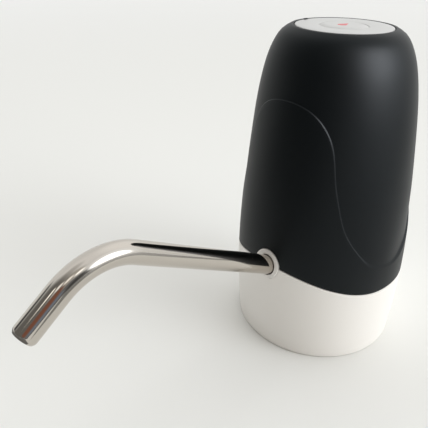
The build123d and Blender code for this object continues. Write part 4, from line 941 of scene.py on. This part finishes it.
def tube_rows(spout):
    """The rows of the tube's skin: out along the outside, over the rounded lip and back along the bore."""
    columns = 64
    around = np.linspace(0, 2 * np.pi, columns, endpoint=False)
    stations = spout_stations(spout)
    outer = spout.tube_radius
    lip = spout.tube_wall / 2
    roll, reach = spout.tip_roll, 3 * spout.tip_roll
    rows = [(s, outer, 0.0) for s in stations[:-1]]
    full = math.pi / 3
    tip = stations[-1]

    def rolled(radius, angle):
        shift = -reach + (reach - lip) * math.sin(angle) / math.sin(full)
        return tip, radius - 2 * roll * (1 - math.cos(angle)), shift

    for angle in np.linspace(0, full, 7):
        rows.append(rolled(outer, angle))
    for angle in np.linspace(0, math.pi, 9)[1:-1]:
        rows.append((tip, outer - roll - lip * (1 - math.cos(angle)), -lip * (1 - math.sin(angle))))
    for angle in np.linspace(full, 0, 7):
        rows.append(rolled(outer - 2 * lip, angle))
    rows += [(s, outer - 2 * lip, 0.0) for s in reversed(stations[:-1])]
    places = []
    for (along, up, turn), radius, shift in rows:
        forward = np.array([math.cos(turn), -math.sin(turn)])
        above = np.array([math.sin(turn), math.cos(turn)])
        centre = np.array([along, up]) + forward * shift
        ring = centre[None, :] + np.outer(np.cos(around) * radius, above)
        places.append(np.stack([np.sin(around) * radius, ring[:, 1], ring[:, 0]], axis=1))
    return np.array(places)


class PUMP_OT_spout(bpy.types.Operator):
    """Model the bent steel tube and the pale collar that it turns in"""
    bl_idname = "pump.spout"
    bl_label = "Spout"

    def execute(self, context):
        body, spout, _, _ = sizes()
        tube = wrapped("spout_pipe", tube_rows(spout))
        moved(tube, spout_matrix(spout))
        close_up(tube)
        done(smooth(tube), "spout", "polished_steel", "spout_tube")
        collar = collar_piece(body, spout)
        done(smooth(collar), "root", "collar_white", "spout_socket")
        return {"FINISHED"}


def collar_piece(body, spout):
    """The collar with its leaning face, its foot on the ceiling and its hose spigot."""
    inner = spout.tube_radius + 0.05 * MM
    back = 32.2 * MM
    face = body.radius / math.cos(spout.rise) + 1.0 * MM
    collar = bar("spout_collar", spout.collar_radius, back, face + 4 * MM, 96)
    moved(collar, collar_matrix(spout))
    height = spout.axis_height + body.radius * math.tan(spout.rise)
    front = -body.radius - spout.collar_proud
    slab = brick("face_cut", (-50 * MM, -80 * MM, -50 * MM), (50 * MM, 0, 50 * MM))
    moved(slab, Matrix.Translation((0, front, height)) @ Matrix.Rotation(-spout.collar_tilt, 4, "X"))
    cut(collar, slab)
    modified(collar, "BEVEL", width=0.15 * MM, segments=3, limit_method="ANGLE", angle_limit=math.radians(40))
    foot_half = 11 * MM
    foot_front, foot_back = -31 * MM, -24.5 * MM
    foot_low, foot_high = 31.1 * MM, 33.1 * MM
    foot = brick("foot", (-foot_half, foot_front, foot_low), (foot_half, foot_back, foot_high))
    modified(foot, "BEVEL", width=0.4 * MM, segments=3, limit_method="ANGLE")
    spigot_radius = 2.7 * MM
    spigot_start, spigot_height = -30.7 * MM, 37.3 * MM
    backwards = Matrix.Translation((0, spigot_start, spigot_height)) @ Matrix.Rotation(-math.pi / 2, 4, "X")
    web = brick("web", (-spigot_radius, spigot_start, foot_low + 0.5 * MM),
                (spigot_radius, foot_back, spigot_height))
    spigot = moved(bar("spigot", spigot_radius, 0, 14.2 * MM, 48), backwards)
    fuse(collar, foot, web, spigot)
    bore = bar("bore", inner, back + 1.1 * MM, spout.straight_end, 96)
    mouth = bar("mouth", inner + 0.28 * MM, 40.5 * MM, spout.straight_end, 96)
    for tool in (bore, mouth):
        moved(tool, spout_matrix(spout))
    channel = moved(bar("channel", 1.6 * MM, 0, 40 * MM, 40), backwards)
    cut(collar, bore, mouth, channel)
    return collar


# The top

class PUMP_OT_top(bpy.types.Operator):
    """Model the plate, the button with its mark, and the light guide"""
    bl_idname = "pump.top"
    bl_label = "Top"

    def execute(self, context):
        _, _, top, _ = sizes()
        hole = top.button_radius + top.button_gap
        corners = [(hole, PLATE_LOW, 0), (PLATE_RADIUS, PLATE_LOW, 0.1 * MM),
                   (PLATE_RADIUS, PLATE_TOP, 0.28 * MM), (hole, PLATE_TOP, 0.2 * MM)]
        plate = spun("plate_disc", ring_line(corners, 6), steps=192)
        notch = rounded_bar("lens_notch", top, 0.3 * MM, PLATE_LOW - 1 * MM, PLATE_TOP + 1 * MM)
        cut(plate, notch)
        done(smooth(plate), "root", "plate_grey", "top_plate")
        button = button_piece(top)
        done(smooth(button), "button", "plate_grey", "push_button")
        mark = mark_piece(top)
        done(smooth(mark), "button", "mark_red", "button_mark")
        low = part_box("indicator_lens")[0].z
        lens = rounded_bar("light_guide", top, 0.0, low, PLATE_TOP + top.lens_proud)
        modified(lens, "BEVEL", width=0.15 * MM, segments=3, limit_method="ANGLE",
                 angle_limit=math.radians(60))
        done(smooth(lens, 50), "root", "lens_smoke", "indicator_lens")
        return {"FINISHED"}


def rounded_bar(name, top, wider, low, high):
    """An upright bar of the light guide's rounded section."""
    width = top.lens_width + wider
    straight = top.lens_length - top.lens_width
    tool = bar(name, width / 2, low, high, 32)
    for v in tool.data.vertices:
        v.co.y += straight / 2 if v.co.y > 0 else -straight / 2
    return moved(tool, Matrix.Translation((-top.lens_reach, 0, 0)))


def button_height(radius, top):
    """The height of the button's rounded top at a radius."""
    share = max(0.0, radius - top.button_flat) / (top.button_radius - top.button_flat)
    return PLATE_TOP + top.button_rise - top.button_fall * share ** 3


def button_piece(top):
    """The rounded button with its flange and its stem."""
    low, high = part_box("push_button")
    flange = high.x
    flange_high = PLATE_LOW - 0.35 * MM
    flange_low = flange_high - 1.0 * MM
    stem = 2.2 * MM
    brim = 0.1 * MM
    brim_fall = 0.12 * MM
    crown = [(r, button_height(r, top)) for r in np.linspace(0, top.button_radius - brim, 32)]
    rest = rounded([(*crown[-1], 0), (top.button_radius, crown[-1][1] - brim_fall, 0.05 * MM),
                    (top.button_radius, flange_high, 0.1 * MM), (flange, flange_high, 0.15 * MM),
                    (flange, flange_low, 0.15 * MM), (stem, flange_low, 0.2 * MM), (stem, low.z, 0.2 * MM),
                    (0.0, low.z, 0)], 5)
    return spun("button_cap", crown + [tuple(p) for p in rest[1:]], steps=160)


# The mark's section from its middle out, over the edge and back: the way out and the way down
MARK_SECTION_SHARES = [(0.0, 0.0), (0.2, 0), (0.4, 0), (0.6, 0), (0.8, 0), (0.93, 0.1), (1.0, 0.5),
                       (1.0, 1.0), (0.6, 1.0), (0.0, 1.0)]


def mark_piece(top):
    """A thin red drop that lies on the button."""
    lift = top.mark_height - top.mark_radius
    opening = math.acos(top.mark_radius / lift)
    turns = np.linspace(math.pi / 2 + opening, math.pi / 2 - opening + 2 * math.pi, 40)
    edge = [(top.mark_radius * math.cos(t), top.mark_radius * math.sin(t)) for t in turns]
    rows = []
    shift = top.mark_radius - top.mark_height / 2
    outline = np.array(edge + [(0.0, lift)])
    thick = 0.25 * MM
    sag = 0.03 * MM
    for share, drop in MARK_SECTION_SHARES:
        row = []
        for x, y in outline * share:
            place_y = y + shift
            height = button_height(math.hypot(x, place_y), top)
            row.append((x, place_y, height + sag - drop * thick * 0.5))
        rows.append(row)
    return wrapped("drop_mark", np.array(rows), closed=False)


# The charging socket and the inner pieces

class PUMP_OT_port(bpy.types.Operator):
    """Model the five gilt contacts on the charging socket's tongue"""
    bl_idname = "pump.port"
    bl_label = "Charging contacts"

    def execute(self, context):
        z = middle_of("charge_socket").z
        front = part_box("charge_socket")[1].y
        pitch = 0.65 * MM
        half = 0.17 * MM
        near, far = front - 0.6 * MM, front - 4 * MM
        low, high = z - 0.36 * MM, z - 0.29 * MM
        for k in range(5):
            x = (k - 2) * pitch
            contact = brick(f"port_contact_{k + 1}", (x - half, far, low), (x + half, near, high))
            modified(contact, "BEVEL", width=0.03 * MM, segments=2, limit_method="ANGLE")
            done(smooth(contact), "root", "nickel")
        return {"FINISHED"}


class PUMP_OT_inner(bpy.types.Operator):
    """Finish every piece that keeps its own form, by its material slot"""
    bl_idname = "pump.inner"
    bl_label = "Inner finishes"

    def execute(self, context):
        for part in frame["record"]["subparts"]:
            coat(frame["nodes"][part["node"]], part["material_slot"])
        return {"FINISHED"}


# The stage

class PUMP_OT_stage(bpy.types.Operator):
    """Set the floor, the lamps, the surroundings and the camera"""
    bl_idname = "pump.stage"
    bl_label = "Stage"

    def execute(self, context):
        set_floor()
        set_shade_cards()
        set_lamps()
        set_world()
        set_camera()
        context.scene.view_settings.view_transform = "Standard"
        return {"FINISHED"}


def set_floor():
    """A wide pale floor that keeps the object's shadow. Its colour is painted paler far off, where less lamp
    light reaches, as painted light.
    """
    clear_selection()
    bpy.ops.mesh.primitive_plane_add(size=6.0, location=(0, 0, 0))
    floor = named("floor")
    material = bpy.data.materials.new("Floor")
    material.use_nodes = True
    tree = material.node_tree
    principled = tree.nodes["Principled BSDF"]
    principled.inputs["Roughness"].default_value = 0.6
    place = added(tree, "TexCoord")
    away = added(tree, "VectorMath", operation="LENGTH")
    # painted light: the colour grows paler with distance, where the lamps' light falls off
    far = added(tree, "MapRange", {"From Min": 0.3, "From Max": 1.6}, interpolation_type="SMOOTHSTEP")
    mix = added(tree, "Mix", {"A": (0.80, 0.80, 0.775, 1), "B": (0.95, 0.95, 0.94, 1)}, data_type="RGBA")
    link(tree, place.outputs["Object"], away.inputs[0])
    link(tree, away.outputs["Value"], far.inputs["Value"])
    link(tree, far.outputs["Result"], mix.inputs["Factor"])
    link(tree, mix.outputs["Result"], principled.inputs["Base Color"])
    principled.inputs["Specular IOR Level"].default_value = 0.0
    floor.data.materials.append(material)


# Dark sheets laid on the floor that only reflections show, painted shade in what the dome and the steel
# reflect: name, corners and colour
SHADE_CARDS = [
    ("table_edge", [(0.18, -0.15), (0.90, -0.15), (0.90, 0.90), (0.18, 0.50)], (0.22, 0.22, 0.21)),
    ("window_foot", [(0.18, -0.146), (3.0, -0.39), (3.0, 0.785), (0.18, -0.075)], (0.24, 0.24, 0.23)),
    ("near_floor", [(-1.6, -2.0), (2.0, -1.4), (0.04, -0.165), (-0.25, -0.15)], (0.17, 0.17, 0.17)),
]


def set_shade_cards():
    """Dark sheets on the floor, seen by reflections alone, that paint shade into the reflections."""
    for name, corners, value in SHADE_CARDS:
        clear_selection()
        bpy.ops.mesh.primitive_plane_add(size=1.0)
        card = named(name)
        for v, corner in zip(card.data.vertices, (corners[0], corners[1], corners[3], corners[2])):
            v.co = (*corner, 0.001)
        material = bpy.data.materials.new(name)
        material.use_nodes = True
        material.node_tree.nodes["Principled BSDF"].inputs["Base Color"].default_value = (*value, 1)
        card.data.materials.append(material)
        card.visible_camera = card.visible_diffuse = card.visible_shadow = card.visible_transmission = False


def lamp(name, place, size, power, tint=(1, 1, 1)):
    """A soft round lamp that points at the body's middle."""
    data = bpy.data.lights.new(name, "AREA")
    data.shape = "DISK"
    data.size = size
    data.energy = power
    data.color = tint
    obj = bpy.data.objects.new(name, data)
    bpy.context.scene.collection.objects.link(obj)
    obj.location = place
    obj.rotation_mode = "QUATERNION"
    obj.rotation_quaternion = (Vector((0, 0, 0.07)) - Vector(place)).to_track_quat("-Z", "Y")
    return obj


def set_lamps():
    """The window's and the ceiling's light, and the bright sky that only the dome reflects."""
    for one in (lamp("window", (1.0, 0.28, 0.42), 0.8, 3.6, (1.0, 0.995, 0.985)),
                lamp("ceiling", (-0.1, 0.1, 1.3), 0.9, 2.7)):
        one.visible_glossy = False
    sky = lamp("sky", 1.2 * Vector(towards(94, 31)), 0.85, 26.0, (1.0, 0.97, 1.0))
    sky.visible_diffuse = False
    shell_only = bpy.data.collections.new("lit by the sky")
    shell_only.objects.link(bpy.data.objects["dome_cover"])
    sky.light_linking.receiver_collection = shell_only


def towards(azimuth, height):
    """A direction from its azimuth, from the spout's side towards +X, and its height above the horizon."""
    a, h = math.radians(azimuth), math.radians(height)
    return (math.sin(a) * math.cos(h), -math.cos(a) * math.cos(h), math.sin(h))


# The room round the pump: name, direction, inner and outer reach in degrees, and colour
ROOM_WALL = (0.90, 0.91, 0.90)
ROOM = [
    ("overhead", towards(0, 90), 10, 50, (1.00, 1.00, 0.99)),
    ("lit wall", towards(-175, 38), 12, 44, (1.18, 1.18, 1.17)),
    ("ceiling end", towards(0, 68), 6, 26, (0.62, 0.61, 0.59)),
    ("cornice", towards(58, 46), 14, 27, (0.52, 0.50, 0.46)),
    ("dark end", towards(6, 14), 38, 64, (0.18, 0.175, 0.165)),
    ("door frame", towards(-57, 18), 1, 15, (0.03, 0.03, 0.03)),
    ("window glow", towards(126, 25), 14, 33, (1.2, 1.22, 1.24)),
    ("furniture", towards(80, 6), 20, 29, (0.20, 0.20, 0.20)),
    ("cupboard", towards(50, 26.5), 9, 17, (0.27, 0.12, 0.08)),
    ("chair", towards(70, 11), 3, 9, (0.24, 0.28, 0.36)),
    ("gap", towards(89, 11), 4, 12, (0.08, 0.08, 0.08)),
    ("window", towards(119, 19), 12, 21, (3.6, 3.75, 3.9)),
    ("lamp", towards(8, 46), 1, 5, (2.2, 2.15, 2.0)),
    ("curtain", towards(84, 43), 2, 8, (2.0, 2.0, 1.95)),
    ("cove", towards(62, 46), 1, 9, (1.5, 1.46, 1.38)),
    ("cove end", towards(35, 47), 1, 9, (1.5, 1.46, 1.38)),
]


def room_colour(tree):
    """The room's colour by direction, as soft round regions laid over the wall's colour."""
    place = added(tree, "TexCoord")
    unit = added(tree, "VectorMath", operation="NORMALIZE")
    link(tree, place.outputs["Generated"], unit.inputs[0])
    wall = added(tree, "RGB")
    last = wall.outputs[0]
    last.default_value = (*ROOM_WALL, 1)
    for name, direction, inner, outer, value in ROOM:
        facing = added(tree, "VectorMath", operation="DOT_PRODUCT")
        facing.inputs[1].default_value = direction
        edges = {"From Min": math.cos(math.radians(outer)), "From Max": math.cos(math.radians(inner))}
        reach = added(tree, "MapRange", edges, interpolation_type="SMOOTHSTEP")
        mix = added(tree, "Mix", {"B": (*value, 1)}, data_type="RGBA", label=name)
        link(tree, unit.outputs["Vector"], facing.inputs[0])
        link(tree, facing.outputs["Value"], reach.inputs["Value"])
        link(tree, reach.outputs["Result"], mix.inputs["Factor"])
        link(tree, last, mix.inputs["A"])
        last = mix.outputs["Result"]
    return last


def set_world():
    """A pale background for the camera, and a room with a window for light and reflections."""
    world = bpy.data.worlds.new("Surroundings")
    bpy.context.scene.world = world
    world.use_nodes = True
    tree = world.node_tree
    tree.nodes.clear()
    out = added(tree, "OutputWorld")
    fill = added(tree, "Background", {"Strength": 1.0})
    link(tree, room_colour(tree), fill.inputs["Color"])
    seen = added(tree, "Background", {"Color": (0.92, 0.92, 0.91, 1), "Strength": 1.0})
    rays = added(tree, "LightPath")
    mix = added(tree, "MixShader")
    link(tree, rays.outputs["Is Camera Ray"], mix.inputs["Fac"])
    link(tree, fill.outputs["Background"], mix.inputs[1])
    link(tree, seen.outputs["Background"], mix.inputs[2])
    link(tree, mix.outputs["Shader"], out.inputs["Surface"])


CAMERA_PLACE = (0.112543, -0.176658, 0.168313)
CAMERA_HEADING = math.radians(32.5 + 12.863)
CAMERA_DIP = math.radians(24.836)
CAMERA_ROLL = math.radians(-1.191)
PHOTO_SIDE = 428
FOCAL_PIXELS = 508.58
CENTRE_PIXEL = (221.78, 168.26)


def set_camera():
    """The camera at the photograph's viewing angle."""
    data = bpy.data.cameras.new("camera")
    camera = bpy.data.objects.new("camera", data)
    bpy.context.scene.collection.objects.link(camera)
    level = math.cos(CAMERA_DIP)
    forward = Vector((-math.sin(CAMERA_HEADING) * level, math.cos(CAMERA_HEADING) * level,
                      -math.sin(CAMERA_DIP)))
    right = Vector((math.cos(CAMERA_HEADING), math.sin(CAMERA_HEADING), 0))
    down = forward.cross(right)
    side = math.cos(CAMERA_ROLL) * right + math.sin(CAMERA_ROLL) * down
    under = -math.sin(CAMERA_ROLL) * right + math.cos(CAMERA_ROLL) * down
    turn = Matrix((side, -under, -forward)).transposed().to_4x4()
    camera.matrix_world = Matrix.Translation(CAMERA_PLACE) @ turn
    data.sensor_width = 36.0
    data.lens = FOCAL_PIXELS / PHOTO_SIDE * data.sensor_width
    data.shift_x = (PHOTO_SIDE / 2 - CENTRE_PIXEL[0]) / PHOTO_SIDE
    data.shift_y = (CENTRE_PIXEL[1] - PHOTO_SIDE / 2) / PHOTO_SIDE
    data.clip_start = 0.01
    bpy.context.scene.camera = camera


# The add-on

class PUMP_PT_panel(bpy.types.Panel):
    """The pump's operators in the sidebar"""
    bl_idname = "PUMP_PT_panel"
    bl_label = "Bottle Pump"
    bl_space_type = "VIEW_3D"
    bl_region_type = "UI"
    bl_category = "Bottle Pump"

    def draw(self, context):
        for operator in OPERATORS:
            self.layout.operator(operator.bl_idname)


OPERATORS = [PUMP_OT_inner, PUMP_OT_shell, PUMP_OT_base, PUMP_OT_neck, PUMP_OT_spout, PUMP_OT_top,
             PUMP_OT_port, PUMP_OT_stage]
GROUPS = {"pump_body": BodySizes, "pump_spout": SpoutSizes, "pump_top": TopSizes, "pump_finish": Finishes}


def register():
    """Registers the classes and puts the property groups on the scene."""
    for cls in [*GROUPS.values(), *OPERATORS, PUMP_PT_panel]:
        bpy.utils.register_class(cls)
    for name, cls in GROUPS.items():
        setattr(bpy.types.Scene, name, bpy.props.PointerProperty(type=cls))


def unregister():
    """Takes the property groups and the classes away again."""
    for name in GROUPS:
        delattr(bpy.types.Scene, name)
    for cls in [PUMP_PT_panel, *reversed(OPERATORS), *GROUPS.values()]:
        bpy.utils.unregister_class(cls)


def main():
    """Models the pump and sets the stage."""
    register()
    bpy.ops.pump.inner()
    bpy.ops.pump.shell()
    bpy.ops.pump.base()
    bpy.ops.pump.neck()
    bpy.ops.pump.spout()
    bpy.ops.pump.top()
    bpy.ops.pump.port()
    bpy.ops.pump.stage()


if __name__ == "__main__":
    main()
